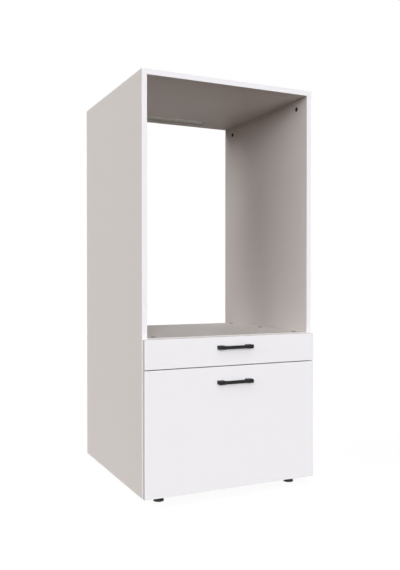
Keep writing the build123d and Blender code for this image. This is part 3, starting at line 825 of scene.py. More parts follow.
@dataclass(frozen=True)
class Board(Assembly):
    """A laminated board, cut from its CAD shape, with eased edges and bare chipboard where nothing covers it.

    Its second finish is on its bare sides and in its bores, and its third one on banded edges and on the
    walls of a cut-out; that third finish is a grey of painted shade.
    """

    node: str
    core: str
    bare: tuple[Way, ...] = ()
    banded: tuple[Way, ...] = ()
    lining: str = "cut_out_painted_shade"
    painted_shade_box: tuple[Point, Point] | None = None
    easing: float = 0.3
    rim: float = 0.35
    crisp: float = 20.0

    def build(self) -> None:
        """Make the board."""
        work = self.cabinet.copy(self.node)
        low, high = self.cabinet.span(self.node)
        sides = {face: self.side(face, low, high) for face in work.mesh.faces}
        open_faces = [face for face, side in sides.items() if side is None or side in self.bare]
        work.paint(open_faces, Layer.SECOND)
        # Banded edges and the walls of the cut-out take the third finish, a grey of painted shade
        covered = [face for face, side in sides.items() if side in self.banded or self.in_painted_shade_box(face)]
        work.paint(covered, Layer.THIRD)
        if self.easing:
            work.ease(self.easing, edges=[edge for edge in work.mesh.edges if self.is_corner(edge, sides)])
        work.paint([face for face in work.mesh.faces if self.on_rim(face, low, high)], Layer.FIRST)
        finishes = (self.cabinet.slots[self.node], self.core, self.lining)
        self.cabinet.set_down(work, self.node, finishes, self.crisp, flat=True)

    def side(self, face: BMFace, low: Vector, high: Vector) -> Way | None:
        """Find which of the board's six sides a face lies in.

        Args:
            face: The face.
            low: The board's lowest corner.
            high: Its highest corner.

        Returns:
            The side, or none for the wall of a bore, a groove or a cut-out.
        """
        middle = face.calc_center_median()
        for way in (Way.LEFT, Way.RIGHT, Way.FRONT, Way.REAR, Way.DOWN, Way.UP):
            direction = Vector(way.value)
            limit = max(low.dot(direction), high.dot(direction))
            if face.normal.dot(direction) > SQUARE and abs(middle.dot(direction) - limit) < TOUCH:
                return way
        return None

    def in_painted_shade_box(self, face: BMFace) -> bool:
        """Tell whether a face is an upright wall in the space whose walls get painted shade.

        Args:
            face: The face.

        Returns:
            Whether it is.
        """
        if self.painted_shade_box is None or abs(face.normal.z) > 1 - FACING:
            return False
        low, high = self.painted_shade_box
        return all(low[i] < at < high[i] for i, at in enumerate(face.calc_center_median()))

    def is_corner(self, edge: BMEdge, sides: dict[BMFace, Way | None]) -> bool:
        """Tell whether an edge is one of the board's own outer edges, where two of its sides meet."""
        met = {sides[face] for face in edge.link_faces}
        return len(met) == 2 and None not in met

    def on_rim(self, face: BMFace, low: Vector, high: Vector) -> bool:
        """Tell whether a face is part of the rounding of the outer edges.

        Args:
            face: The face.
            low: The board's lowest corner.
            high: Its highest corner.

        Returns:
            Whether it is near two of the board's sides and square to none.
        """
        middle = face.calc_center_median()
        near = [min(abs(middle[i] - low[i]), abs(middle[i] - high[i])) < self.rim for i in range(3)]
        return sum(near) >= 2 and max(map(abs, face.normal)) < SQUARE


@dataclass(frozen=True)
class Sheet(Assembly):
    """A thin sheet of hardboard, lacquered on one side and bare on the other and at its edges."""

    node: str
    bare: Way

    def build(self) -> None:
        """Make the sheet."""
        work = self.cabinet.copy(self.node)
        lacquered = -Vector(self.bare.value)
        work.paint([face for face in work.mesh.faces if face.normal.dot(lacquered) < FACING], Layer.SECOND)
        finishes = (self.cabinet.slots[self.node], "bare_hardboard")
        self.cabinet.set_down(work, self.node, finishes, flat=True)


@dataclass(frozen=True)
class EdgeBands(Assembly):
    """Plastic bands on the front edges, their long edges rounded."""

    in_sight: tuple[str, ...] = ("side_edge_bands", "top_edge_band")
    # The bands behind the fronts get a grey of painted shade
    behind_fronts: tuple[str, ...] = ("niche_floor_edge_band", "bottom_edge_band")
    rounding: float = 0.7
    segments: int = 3

    def build(self) -> None:
        """Make the bands."""
        for node in self.in_sight + self.behind_fronts:
            work = Workpiece()
            for low, high in self.cabinet.spans(node):
                work.block(low, high)
            work.ease(self.rounding, self.segments, edges=[e for e in work.mesh.edges if self.is_front(e)])
            self.cabinet.set_down(work, node, ("front_edge_painted_shade",) if node in self.behind_fronts else ())

    def is_front(self, edge: BMEdge) -> bool:
        """Tell whether an edge bounds a band's front face."""
        return any(face.normal.y < -FACING for face in edge.link_faces)


@dataclass(frozen=True)
class Seat:
    """How a fitting sits: which way its face or head looks, and which way its mouth looks."""

    up: Way
    ahead: Way | None = None

    @staticmethod
    def pick(seats: Sequence[Seat], low: Vector, high: Vector) -> Seat:
        """Choose the seat whose axis is the one that a solid's proportions single out.

        Args:
            seats: The seats to choose from.
            low: The solid's lowest corner.
            high: Its highest corner.

        Returns:
            The seat.
        """
        size = high - low
        usual = sorted(size)[1]
        return max(seats, key=lambda seat: abs(abs(seat.up.at(low).dot(size)) - usual))

    def place(self, low: Vector, high: Vector) -> Matrix:
        """Give the placement of a shape drawn below the origin.

        Args:
            low: The lowest corner of the space it goes in.
            high: The highest corner.

        Returns:
            The matrix.
        """
        middle = (low + high) / 2
        up = self.up.at(middle)
        if self.ahead is None:
            turn = up.to_track_quat("Z", "Y").to_matrix()
        else:
            ahead = self.ahead.at(middle)
            turn = Matrix((ahead, up.cross(ahead), up)).transposed()
        return Matrix.Translation(middle + up * abs(up.dot(high - low)) / 2) @ turn.to_4x4()


@dataclass(frozen=True)
class Fitting:
    """A small fitting, drawn once with its face, head or end at the origin and the rest below."""

    def draw(self) -> Workpiece:
        """Draw the fitting."""
        raise NotImplementedError

    def set_in(self, cabinet: Cabinet, node: str, *seats: Seat) -> None:
        """Set copies of the fitting where a CAD node has its solids.

        Args:
            cabinet: Where they go.
            node: The CAD node.
            *seats: How it may sit. Each solid takes the one that its proportions show.
        """
        shape, work = self.draw(), Workpiece()
        work.stamp(shape, [Seat.pick(seats, *span).place(*span) for span in cabinet.spans(node)])
        shape.mesh.free()
        cabinet.set_down(work, node)


@dataclass(frozen=True)
class Cam(Fitting):
    """A connector's cam: a plate with a cross, a flange and an arrow, on a wall that is open at its mouth."""

    height: float
    radius: float = 7.5
    plate: float = 4.6
    rim: float = 0.5
    wall: float = 2.8
    mouth: float = 80.0
    flange: float = 8.3
    stand: float = 0.8
    cross_reach: float = 4.3
    cross_width: float = 1.7
    cross_depth: float = 2.0
    arrow: float = 0.9
    arrow_draft: float = 0.2
    arrow_height: float = 0.3
    arrow_rise: float = 0.02
    arrow_in: float = 1.7
    steps: int = 28

    def draw(self) -> Workpiece:
        """Draw the cam, its mouth towards X.

        Returns:
            The cam.
        """
        work = Workpiece()
        rim = work.cross_face(self.flange - self.rim, self.cross_reach, self.cross_width, self.cross_depth)
        skirt = ((self.flange, -self.rim), (self.flange, -self.stand), (self.radius, -self.stand))
        work.draw_out(rim, (*skirt, (self.radius, -self.plate)))
        arrow = Workpiece()
        bmesh.ops.create_cone(
            arrow.mesh, cap_ends=True, segments=3, radius1=self.arrow, radius2=self.arrow - self.arrow_draft,
            depth=self.arrow_height,
            matrix=Matrix.Translation((self.radius - self.arrow_in, 0, self.arrow_rise)),
        )
        work.stamp(arrow)
        wall = Workpiece()
        section = [(radius, -self.plate) for radius in (self.radius - self.wall, self.radius)]
        section += [(radius, -self.height) for radius, _ in reversed(section)]
        wall.turn(section, self.steps, math.radians(360 - self.mouth))
        work.stamp(wall, [Matrix.Rotation(math.radians(self.mouth / 2), 4, "Z")])
        bmesh.ops.translate(work.mesh, vec=(0, 0, self.stand), verts=work.mesh.verts)
        return work


@dataclass(frozen=True)
class CamBolt(Fitting):
    """A connector's bolt: a thread in one board, a collar at the joint, and a neck and a head in the cam.

    Its outline gives radius and height, from its threaded end to its head.
    """

    outline: tuple[Pair, ...] = (
        (0, 0), (1.6, 0), (2, -0.4), (2, -11), (3.4, -11), (3.4, -12.2), (2.8, -12.6), (2.8, -38.5),
        (2.1, -39.5), (2.1, -43.3), (3.1, -43.5), (3.5, -44), (3.5, -45.7), (2.7, -46.5), (0, -46.5),
    )
    steps: int = 24
    thread_core: float = 1.95
    thread_crest: float = 2.5
    thread_ends: Pair = (-10.8, -0.5)
    pitch: float = 1.6

    def draw(self) -> Workpiece:
        """Draw the bolt, its thread upwards.

        Returns:
            The bolt.
        """
        work = Workpiece()
        work.turn(self.outline, self.steps)
        work.stamp(wound_thread(self.thread_core, self.thread_crest, self.pitch, self.thread_ends))
        return work


@dataclass(frozen=True)
class Dowel(Fitting):
    """A fluted wooden dowel."""

    length: float = 35.0
    radius: float = 4.0
    flutes: int = 20
    chamfer: float = 1.2
    end: float = 0.86
    groove: float = 0.94

    def draw(self) -> Workpiece:
        """Draw the dowel.

        Returns:
            The dowel.
        """
        work = Workpiece()
        size = {"segments": 2 * self.flutes, "radius": self.radius * self.end}
        circle = bmesh.ops.create_circle(work.mesh, cap_ends=True, **size)
        end = circle["verts"][0].link_faces[0]
        low = self.chamfer - self.length
        rings = (-self.chamfer, 1, self.groove), (low, 1, self.groove), (-self.length, self.end, self.end)
        for height, crest, groove in rings:
            end = bmesh.ops.extrude_discrete_faces(work.mesh, faces=[end])["faces"][0]
            for i, point in enumerate(end.verts):
                point.co.xy = point.co.xy.normalized() * self.radius * (groove if i % 2 else crest)
                point.co.z = height
        work.close()
        return work


@dataclass(frozen=True)
class WoodScrew(Fitting):
    """A countersunk screw, with a tapered point.

    Its face and cross are shares of its head, and its core and taper are shares of its thread's radius.
    """

    radius: float
    head: float
    head_depth: float
    length: float
    pitch: float
    core: float = 0.68
    thread_foot: float = 0.98
    taper: float = 1.6
    point: float = 0.1
    tip: float = 0.3
    neck: float = 0.6
    edge: float = 0.12
    face: float = 0.97
    cross_reach: float = 0.58
    cross_width: float = 0.26
    cross_depth: float = 0.6

    def draw(self) -> Workpiece:
        """Draw the screw.

        Returns:
            The screw.
        """
        work = Workpiece()
        core, end = self.radius * self.core, -self.length
        face, reach, width = (self.head * share for share in (self.face, self.cross_reach, self.cross_width))
        rim = work.cross_face(face, reach, width, self.head_depth * self.cross_depth)
        shank = ((core, -self.head_depth), (core, end + self.radius), (core * self.point, end + self.tip))
        work.draw_out(rim, ((self.head, -self.edge), *shank))
        ends = (end, -self.head_depth - self.neck)
        thread = wound_thread(core * self.thread_foot, self.radius, self.pitch, ends)
        thread.taper(end + self.radius * self.taper, self.point)
        work.stamp(thread)
        return work


@dataclass(frozen=True)
class HandleScrew(Fitting):
    """A pan-head screw. Its outline gives radius and height, from round its face to its end."""

    face: float = 2.88
    cross_reach: float = 1.984
    cross_width: float = 0.832
    cross_depth: float = 1.44
    outline: tuple[Pair, ...] = (
        (3.2, -0.15), (3.6, -1.08), (4, -2.04), (4, -2.4), (1.68, -2.4), (1.68, -27.8), (1.176, -28.4),
    )
    thread_core: float = 1.6464
    thread_crest: float = 2.0
    thread_ends: Pair = (-27.9, -6.4)
    pitch: float = 0.7

    def draw(self) -> Workpiece:
        """Draw the screw.

        Returns:
            The screw.
        """
        work = Workpiece()
        rim = work.cross_face(self.face, self.cross_reach, self.cross_width, self.cross_depth)
        work.draw_out(rim, self.outline)
        work.stamp(wound_thread(self.thread_core, self.thread_crest, self.pitch, self.thread_ends))
        return work


@dataclass(frozen=True)
class Bumper(Fitting):
    """A soft round pad, stuck on by its flat face.

    Its dome is a share of its length, and its back one of its radius.
    """

    radius: float = 4.0
    length: float = 0.9
    dome: float = 0.9
    back: float = 0.96
    slopes: tuple[float, ...] = (0, 0.35, 0.7, 1.05, 1.35)
    steps: int = 28

    def draw(self) -> Workpiece:
        """Draw the pad.

        Returns:
            The pad.
        """
        work = Workpiece()
        low = -self.length * self.dome
        dome = [(self.radius * math.sin(slope), low * (1 - math.cos(slope))) for slope in self.slopes]
        back = ((self.radius, low), (self.radius * self.back, -self.length), (0, -self.length))
        work.turn([*dome, *back], self.steps)
        return work


@dataclass(frozen=True)
class Hardware(Assembly):
    """The cams, bolts, dowels, screws and bumpers of the carcass and of both drawers."""

    carcass_cam: Cam = Cam(height=13.3)
    drawer_cam: Cam = Cam(height=12.3)
    cam_bolt: CamBolt = CamBolt()
    dowel: Dowel = Dowel()
    sheet_screw: WoodScrew = WoodScrew(radius=1.75, head=3.5, head_depth=2.0, length=20.0, pitch=1.4)
    rail_screw: WoodScrew = WoodScrew(radius=1.75, head=3.5, head_depth=2.0, length=13.0, pitch=1.4)
    box_screw: WoodScrew = WoodScrew(radius=2.5, head=4.5, head_depth=3.0, length=45.0, pitch=2.2)
    handle_screw: HandleScrew = HandleScrew()
    bumper: Bumper = Bumper()

    def build(self) -> None:
        """Make the fittings."""
        outward, inward, up, rear = Seat(Way.OUTWARD), Seat(Way.INWARD), Seat(Way.UP), Seat(Way.REAR)
        rows = [
            ("carcass_cams", self.carcass_cam, Seat(Way.UP, Way.OUTWARD), Seat(Way.INWARD, Way.UP)),
            ("carcass_cam_bolts", self.cam_bolt, outward, up),
            ("carcass_dowels", self.dowel, outward, up),
            ("bay_back_screws", self.sheet_screw, rear),
            ("cabinet_rail_screws", self.rail_screw, inward),
        ]
        for drawer in ("upper", "lower"):
            rows += [
                (f"{drawer}_drawer_cams", self.drawer_cam, Seat(Way.INWARD, Way.FRONT)),
                (f"{drawer}_drawer_cam_bolts", self.cam_bolt, Seat(Way.FRONT)),
                (f"{drawer}_drawer_rail_screws", self.rail_screw, outward),
                (f"{drawer}_drawer_back_screws", self.box_screw, outward),
                (f"{drawer}_handle_screws", self.handle_screw, rear),
                (f"{drawer}_drawer_bumpers", self.bumper, rear),
            ]
        for node, fitting, *seats in rows:
            fitting.set_in(self.cabinet, node, *seats)


@dataclass(frozen=True)
class BarHandle(Assembly):
    """A bar handle cast in one: a square bar between two deeper and higher end blocks."""

    node: str
    block: float = 22.0
    bar_depth: float = 9.0
    step: float = 1.0
    corner: float = 3.0
    corner_steps: int = 8
    rounding: float = 0.6
    rounding_steps: int = 3
    crisp: float = 50.0

    def build(self) -> None:
        """Make the handle."""
        low, high = self.cabinet.span(self.node)
        work = Workpiece()
        work.block(low, high)
        inner, behind = high.x - self.block, low.y + self.bar_depth
        # Cuts where the end blocks begin, a step further in, and along the bar's rear
        for place in (inner, inner - self.step):
            work.score((place, 0, 0), (1, 0, 0))
            work.score((-place, 0, 0), (1, 0, 0))
        work.score((0, behind, 0), (0, 1, 0))
        # What is behind the bar between the end blocks goes, and the bar gets a rear face
        middles = {face: face.calc_center_median() for face in work.mesh.faces}
        hollow = [face for face, at in middles.items() if abs(at.x) < inner and at.y > behind + TOUCH]
        bmesh.ops.delete(work.mesh, geom=hollow, context="FACES")
        rims = [edge for edge in work.mesh.edges if edge.is_boundary and rise(edge) < TOUCH]
        bmesh.ops.bridge_loops(work.mesh, edges=rims)
        # The bar is lower than the end blocks, by a step at its top and at its underside
        middle = (low.z + high.z) / 2
        for point in work.mesh.verts:
            if abs(point.co.x) < inner - self.step / 2:
                point.co.z -= math.copysign(self.step, point.co.z - middle)
        work.close()
        # The two upright edges at the ends of the front are rounded more than the others
        ends = {v for v in work.mesh.verts if abs(v.co.x) > high.x - TOUCH and v.co.y < low.y + TOUCH}
        corners = [edge for edge in work.mesh.edges if all(point in ends for point in edge.verts)]
        work.ease(self.corner, self.corner_steps, edges=corners)
        work.ease(self.rounding, self.rounding_steps)
        self.cabinet.set_down(work, self.node, angle=self.crisp)


@dataclass(frozen=True)
class LevellingFeet(Assembly):
    """The levelling feet: ribbed plastic pads, threaded spindles with a hexagon, and sleeves in the board.

    Outlines give radius and height: the pad's from the seat of its spindle round to its underside, the
    spindle's from below, and the sleeve's round its flange, down its barbs and along its lower end.
    """

    corners: tuple[str, ...] = ("front_left", "front_right", "rear_left", "rear_right")
    pad: tuple[Pair, ...] = (
        (0, 3), (5.1, 3), (5.1, 11.6), (5.5, 12), (7.9, 12), (8.4, 11.5), (8.7, 5.4), (9.4, 4.6), (14.9, 4.2),
        (15.5, 4.5), (15.8, 5.7), (16.1, 6), (16.6, 6), (17.9, 3.8), (18, 3.4), (18, 0.5), (17.5, 0), (14, 0),
        (13.4, 0.7), (0, 0.7),
    )
    pad_steps: int = 72
    ribs: int = 8
    rib: float = 2.0
    rib_taper: float = 0.7
    rib_low: float = 3.0
    rib_top: float = 10.8
    rib_from: float = 8.0
    rib_to: float = 15.7
    rib_rounding: float = 0.3
    rim: float = 5.9
    spindle: tuple[Pair, ...] = (
        (0, 3.1), (4.45, 3.1), (4.95, 3.6), (4.95, 12.6), (4.15, 12.6), (4.15, 40.7), (3.35, 41.5), (0, 41.5),
    )
    spindle_steps: int = 32
    hexagon: float = 13.0
    hexagon_low: float = 12.1
    hexagon_high: float = 19.1
    hexagon_roundings: Pair = (0.5, 0.25)
    thread_core: float = 4.1085
    thread_crest: float = 4.98
    thread_ends: Pair = (18.9, 41.0)
    thread_steps: int = 24
    pitch: float = 1.5
    sleeve_flange: tuple[Pair, ...] = ((5.15, -0.4), (5.55, 0), (8.7, 0), (9, -0.3), (9, -1.2), (6.7, -1.2))
    sleeve_end: tuple[Pair, ...] = ((6.4, -17.2), (5.15, -17.2))
    sleeve: float = 7.0
    barbs: int = 12
    barb: float = 0.55
    barb_top: float = -2.2
    barb_step: float = 1.2

    def build(self) -> None:
        """Make the four feet and their sleeves."""
        for part, shape in (("pad", self.draw_pad()), ("spindle", self.draw_spindle())):
            for corner in self.corners:
                node = f"{corner}_foot_{part}"
                low, high = self.cabinet.span(node)
                work = Workpiece()
                work.stamp(shape, [Matrix.Translation(((low.x + high.x) / 2, (low.y + high.y) / 2, 0))])
                self.cabinet.set_down(work, node)
        node = "foot_inserts"
        sleeves = Workpiece()
        sleeves.stamp(self.draw_sleeve(), [Seat(Way.DOWN).place(*span) for span in self.cabinet.spans(node)])
        self.cabinet.set_down(sleeves, node)

    def draw_pad(self) -> Workpiece:
        """Draw a pad about the upright axis, standing on the floor.

        Returns:
            The pad.
        """
        work = Workpiece()
        work.turn(self.pad, self.pad_steps)
        rib = Workpiece()
        half = self.rib / 2
        rib.block(Vector((self.rib_from, -half, self.rib_low)), Vector((self.rib_to, half, self.rib_top)))
        # A rib narrows towards its top, which slopes down to the pad's rim
        upper = {point for point in rib.mesh.verts if point.co.z > self.rib_low + TOUCH}
        for point in upper:
            point.co.y *= self.rib_taper
            point.co.z = self.rim if point.co.x > self.rib_from + TOUCH else self.rib_top
        edges = [edge for edge in rib.mesh.edges if not upper.isdisjoint(edge.verts)]
        rib.ease(self.rib_rounding, edges=edges)
        turns = [math.tau * (i + 0.5) / self.ribs for i in range(self.ribs)]
        work.stamp(rib, [Matrix.Rotation(turn, 4, "Z") for turn in turns])
        rib.mesh.free()
        return work

    def draw_spindle(self) -> Workpiece:
        """Draw a spindle about the upright axis, its plain end in the pad.

        Returns:
            The spindle.
        """
        work = Workpiece()
        work.turn(self.spindle, self.spindle_steps)
        nut = Workpiece()
        size = self.hexagon / 2 / math.cos(math.pi / 6)
        middle = Matrix.Translation((0, 0, (self.hexagon_low + self.hexagon_high) / 2))
        bmesh.ops.create_cone(
            nut.mesh, cap_ends=True, segments=6, radius1=size, radius2=size,
            depth=self.hexagon_high - self.hexagon_low, matrix=middle @ Matrix.Rotation(math.pi / 6, 4, "Z"),
        )
        level, upright = self.hexagon_roundings
        nut.ease(level, edges=[edge for edge in nut.mesh.edges if rise(edge) < TOUCH])
        height = self.hexagon_high - self.hexagon_low
        nut.ease(upright, edges=[edge for edge in nut.mesh.edges if rise(edge) > height / 2])
        radii = self.thread_core, self.thread_crest
        thread = wound_thread(*radii, self.pitch, self.thread_ends, self.thread_steps)
        for shape in (nut, thread):
            work.stamp(shape)
            shape.mesh.free()
        return work

    def draw_sleeve(self) -> Workpiece:
        """Draw a sleeve, its flange's face at the origin looking up and its barbs below.

        Returns:
            The sleeve.
        """
        work = Workpiece()
        heights = [self.barb_top - self.barb_step * i for i in range(self.barbs)]
        barbs = [(self.sleeve - self.barb * (i % 2), height) for i, height in enumerate(heights)]
        work.turn((*self.sleeve_flange, *barbs, *self.sleeve_end))
        return work


@dataclass(frozen=True)
class RailMember:
    """One section of the telescopic rails: rolled sheet with raceways for the balls, and punched holes.

    Its outline runs from the middle of its web to the open edge of its upper flange: distance from the
    side panel, and how far below the outer face of the flange. Its holes have their distance from the
    section's front end, their radius, and how much longer than round they are.
    """

    node: str
    web: float
    outline: tuple[Pair, ...]
    holes: tuple[Point, ...]
    panel: float = 307.0
    sheet: float = 1.2
    bend: float = 0.8
    bend_steps: int = 4
    easing: float = 0.15
    easing_angle: float = 50.0
    crisp: float = 40.0
    margin: float = 1.5
    hole_steps: int = 24

    def build(self, cabinet: Cabinet, drawer: str) -> None:
        """Make the section on both sides of a drawer.

        Args:
            cabinet: Where they go.
            drawer: The drawer's name.
        """
        node = f"{drawer}_{self.node}"
        pair = Workpiece()
        for low, high in cabinet.spans(node):
            pair.stamp(self.draw(low, high), [self.place(low, high)])
        piece = cabinet.set_down(pair, node, angle=self.crisp)
        wall = piece.modifiers.new("wall", "SOLIDIFY")
        wall.thickness = self.sheet * MM
        wall.offset = 0
        wall.use_even_offset = True
        ease = piece.modifiers.new("ease", "BEVEL")
        ease.width = self.easing * MM
        ease.segments = 2
        ease.limit_method = "ANGLE"
        ease.angle_limit = math.radians(self.easing_angle)
        # The wall and its easing come before the levelling of the shading
        piece.modifiers.move(0, 2)

    def place(self, low: Vector, high: Vector) -> Matrix:
        """Give the placement of a section that was drawn from the left side panel's inner face.

        Args:
            low: The section's lowest corner.
            high: Its highest corner.

        Returns:
            The matrix.
        """
        side = math.copysign(1, low.x + high.x)
        there = Matrix.Translation((side * self.panel, 0, (low.z + high.z) / 2))
        return there @ Matrix.Diagonal((-side, 1, 1, 1))

    def draw(self, low: Vector, high: Vector) -> Workpiece:
        """Draw the section as a sheet without thickness.

        Args:
            low: Its lowest corner.
            high: Its highest corner.

        Returns:
            The sheet.
        """
        work = Workpiece()
        half = (high.z - low.z - self.sheet) / 2
        upper = [(away, half - drop) for away, drop in self.outline]
        lower = [(away, -height) for away, height in reversed(upper)]
        _, edges = work.line((away, low.y, height) for away, height in lower + upper)
        ends = of_kind(BMVert, bmesh.ops.extrude_edge_only(work.mesh, edges=edges)["geom"])
        bmesh.ops.translate(work.mesh, vec=(0, high.y - low.y, 0), verts=ends)
        folds = [e for e in work.mesh.edges if not e.is_boundary and abs(e.verts[0].co.x - self.web) < TOUCH]
        work.ease(self.bend, self.bend_steps, edges=folds)
        for from_front, radius, slot in self.holes:
            self.punch(work, low.y + from_front, radius, slot)
        bmesh.ops.recalc_face_normals(work.mesh, faces=work.mesh.faces)
        return work

    def punch(self, work: Workpiece, y: float, radius: float, slot: float) -> None:
        """Punch a hole in the web.

        Args:
            work: The sheet.
            y: Where the hole's middle is.
            radius: Its radius.
            slot: How much longer than round it is.
        """
        mesh = work.mesh
        margin = radius + self.margin
        reach = margin + slot / 2
        # The web is cut round the hole, and the cell in the middle makes way for it
        for end in (y - reach, y + reach):
            work.score((0, end, 0), (0, 1, 0))
        for side in (-1, 1):
            strip = [face for face in mesh.faces if self.in_web(face, y, reach)]
            around = dict.fromkeys(item for face in strip for item in (*face.verts, *face.edges))
            work.score((0, 0, side * margin), (0, 0, 1), [*strip, *around])
        near = [face for face in mesh.faces if self.in_web(face, y, reach)]
        cell = min(near, key=lambda face: abs(face.calc_center_median().z))
        outline = list(cell.edges)
        bmesh.ops.delete(mesh, geom=[cell], context="FACES_ONLY")
        # The four sides of the opening get as many edges as the hole
        parts = bmesh.ops.subdivide_edges(mesh, edges=outline, cuts=self.hole_steps // 4 - 1)["geom_split"]
        outline = [edge for edge in of_kind(BMEdge, parts) if edge.is_boundary]
        turn = Matrix.Translation((self.web, y, 0)) @ Matrix.Rotation(math.pi / 2, 4, "Y")
        ring = bmesh.ops.create_circle(mesh, segments=self.hole_steps, radius=radius, matrix=turn)["verts"]
        for point in ring:
            point.co.y += math.copysign(slot / 2, point.co.y - y)
        edges = dict.fromkeys(edge for point in ring for edge in point.link_edges)
        bmesh.ops.bridge_loops(mesh, edges=[*outline, *edges])

    def in_web(self, face: BMFace, y: float, reach: float) -> bool:
        """Tell whether a face is in the web and near a place along it."""
        middle = face.calc_center_median()
        return abs(middle.x - self.web) < TOUCH and abs(middle.y - y) < reach


@dataclass(frozen=True)
class TelescopicRails(Assembly):
    """The rails of one drawer: three rolled sections a side, and two cages of balls between them."""

    drawer: str
    ball: float = 1.8
    crisp: float = 50.0
    members: tuple[RailMember, ...] = (
        RailMember(
            "cabinet_rails", 0.6,
            ((0.6, 0), (4.7, 0), (5.7, -0.2), (6.75, -0.3), (7.8, -0.2), (8.7, 0), (9.6, 0.3), (10.4, 0.3)),
            (
                (20, 2.2, 6), (64, 3.2, 0), (128, 3, 8), (250, 3.2, 0), (372, 3, 8), (436, 3.2, 0),
                (480, 2.2, 6),
            ),
        ),
        RailMember(
            "middle_rails", 3.6,
            ((3.6, 0), (5.2, 0), (6, 0.2), (6.75, 0.25), (7.5, 0.1), (8.4, -0.2), (9.5, 0), (10.9, 0)),
            (
                (18, 2.6, 5), (64, 5, 0), (120, 2.6, 12), (250, 5, 0), (380, 2.6, 12), (436, 5, 0),
                (482, 2.6, 5),
            ),
        ),
        RailMember(
            "drawer_rails", 12.1,
            ((12.1, 0), (10, 0), (9.1, 0.15), (8.25, 0.25), (7.4, 0.15), (6.5, 0), (5.6, 0)),
            ((30, 2.2, 5), (64, 3.2, 0), (150, 2.2, 5), (250, 3.2, 0), (350, 2.2, 5), (436, 3.2, 0)),
        ),
    )

    def build(self) -> None:
        """Make the rails."""
        for member in self.members:
            member.build(self.cabinet, self.drawer)
        for place in ("outer", "inner"):
            self.build_cages(f"{self.drawer}_{place}_ball_cages")

    def build_cages(self, node: str) -> None:
        """Make two cages and their balls.

        Args:
            node: The CAD node they stand for.
        """
        work = self.cabinet.copy(node)
        # The balls are the small solids. They are drawn anew, and the cages keep their shape
        groups = [(group, span_of(group)) for group in work.islands()]
        balls = [(group, span) for group, span in groups if (span[1] - span[0]).length < 4 * self.ball]
        bmesh.ops.delete(work.mesh, geom=[point for group, _ in balls for point in group], context="VERTS")
        ball = Workpiece()
        bmesh.ops.create_uvsphere(ball.mesh, u_segments=10, v_segments=6, radius=self.ball)
        ball.paint(ball.mesh.faces, Layer.SECOND)
        work.stamp(ball, [Matrix.Translation((low + high) / 2) for _, (low, high) in balls])
        ball.mesh.free()
        self.cabinet.set_down(work, node, ("cage_steel", "bearing_steel"), self.crisp)


@dataclass(frozen=True)
class DrawerUnit(Assembly):
    """One drawer: its front, box, bottom sheet, handle and rails."""

    name: str

    def build(self) -> None:
        """Make the drawer."""
        drawer = f"{self.name}_drawer"
        edges = (Way.LEFT, Way.RIGHT, Way.DOWN, Way.UP)
        eased = {"easing": 0, "rim": 1.05, "crisp": 35}
        # The front's edges get a grey of painted shade
        Board(self.cabinet, f"{drawer}_front", "facing_core", (), edges, "front_edge_painted_shade", **eased).build()
        for side in ("left", "right"):
            bare = (Way.DOWN, Way.FRONT, Way.REAR)
            Board(self.cabinet, f"{drawer}_{side}_side", "upright_core", bare).build()
        Board(self.cabinet, f"{drawer}_back", "facing_core", (Way.DOWN, Way.LEFT, Way.RIGHT)).build()
        Sheet(self.cabinet, f"{drawer}_bottom", Way.DOWN).build()
        BarHandle(self.cabinet, f"{self.name}_handle").build()
        TelescopicRails(self.cabinet, self.name).build()


@dataclass(frozen=True)
class Carcass(Assembly):
    """The carcass: side panels, top with its cut-out, niche floor, bottom, bands and back sheet."""

    cut_out: tuple[Point, Point] = ((-175, 235, 1393), (175, 300, 1411))

    def build(self) -> None:
        """Make the carcass."""
        ends, sides = (Way.REAR, Way.FRONT), (Way.LEFT, Way.RIGHT)
        for side in ("left", "right"):
            Board(self.cabinet, f"{side}_side_panel", "upright_core", (Way.DOWN, Way.UP, *ends)).build()
        # The walls of the top's cut-out get a dark grey of painted shade
        Board(self.cabinet, "top_panel", "level_core", ends, painted_shade_box=self.cut_out).build()
        for shelf in ("niche_floor_panel", "bottom_panel"):
            Board(self.cabinet, shelf, "level_core", sides + ends).build()
        EdgeBands(self.cabinet).build()
        Sheet(self.cabinet, "drawer_bay_back", Way.REAR).build()


@dataclass(frozen=True)
class Lamp:
    """A soft lamp, far off. The floor lets its light through from below.

    Its bearing runs from the front towards the left, and its level is how bright it makes white.
    """

    name: str
    bearing: float
    height: float
    level: float
    width: float = 30.0
    distance: float = 4.0
    mirrored: bool = True

    def hang(self) -> None:
        """Hang the lamp."""
        data = bpy.data.lights.new(self.name, "SUN")
        data.angle = math.radians(self.width)
        data.energy = math.pi * self.level
        turn, rise = math.radians(self.bearing), math.radians(self.height)
        source = Vector((-math.sin(turn) * math.cos(rise), -math.cos(turn) * math.cos(rise), math.sin(rise)))
        lamp = bpy.data.objects.new(self.name, data)
        lamp.rotation_mode = "QUATERNION"
        lamp.rotation_quaternion = (-source).to_track_quat("-Z", "Y")
        lamp.location = source * self.distance
        lamp.visible_camera = False
        lamp.visible_glossy = self.mirrored
        bpy.context.scene.collection.objects.link(lamp)


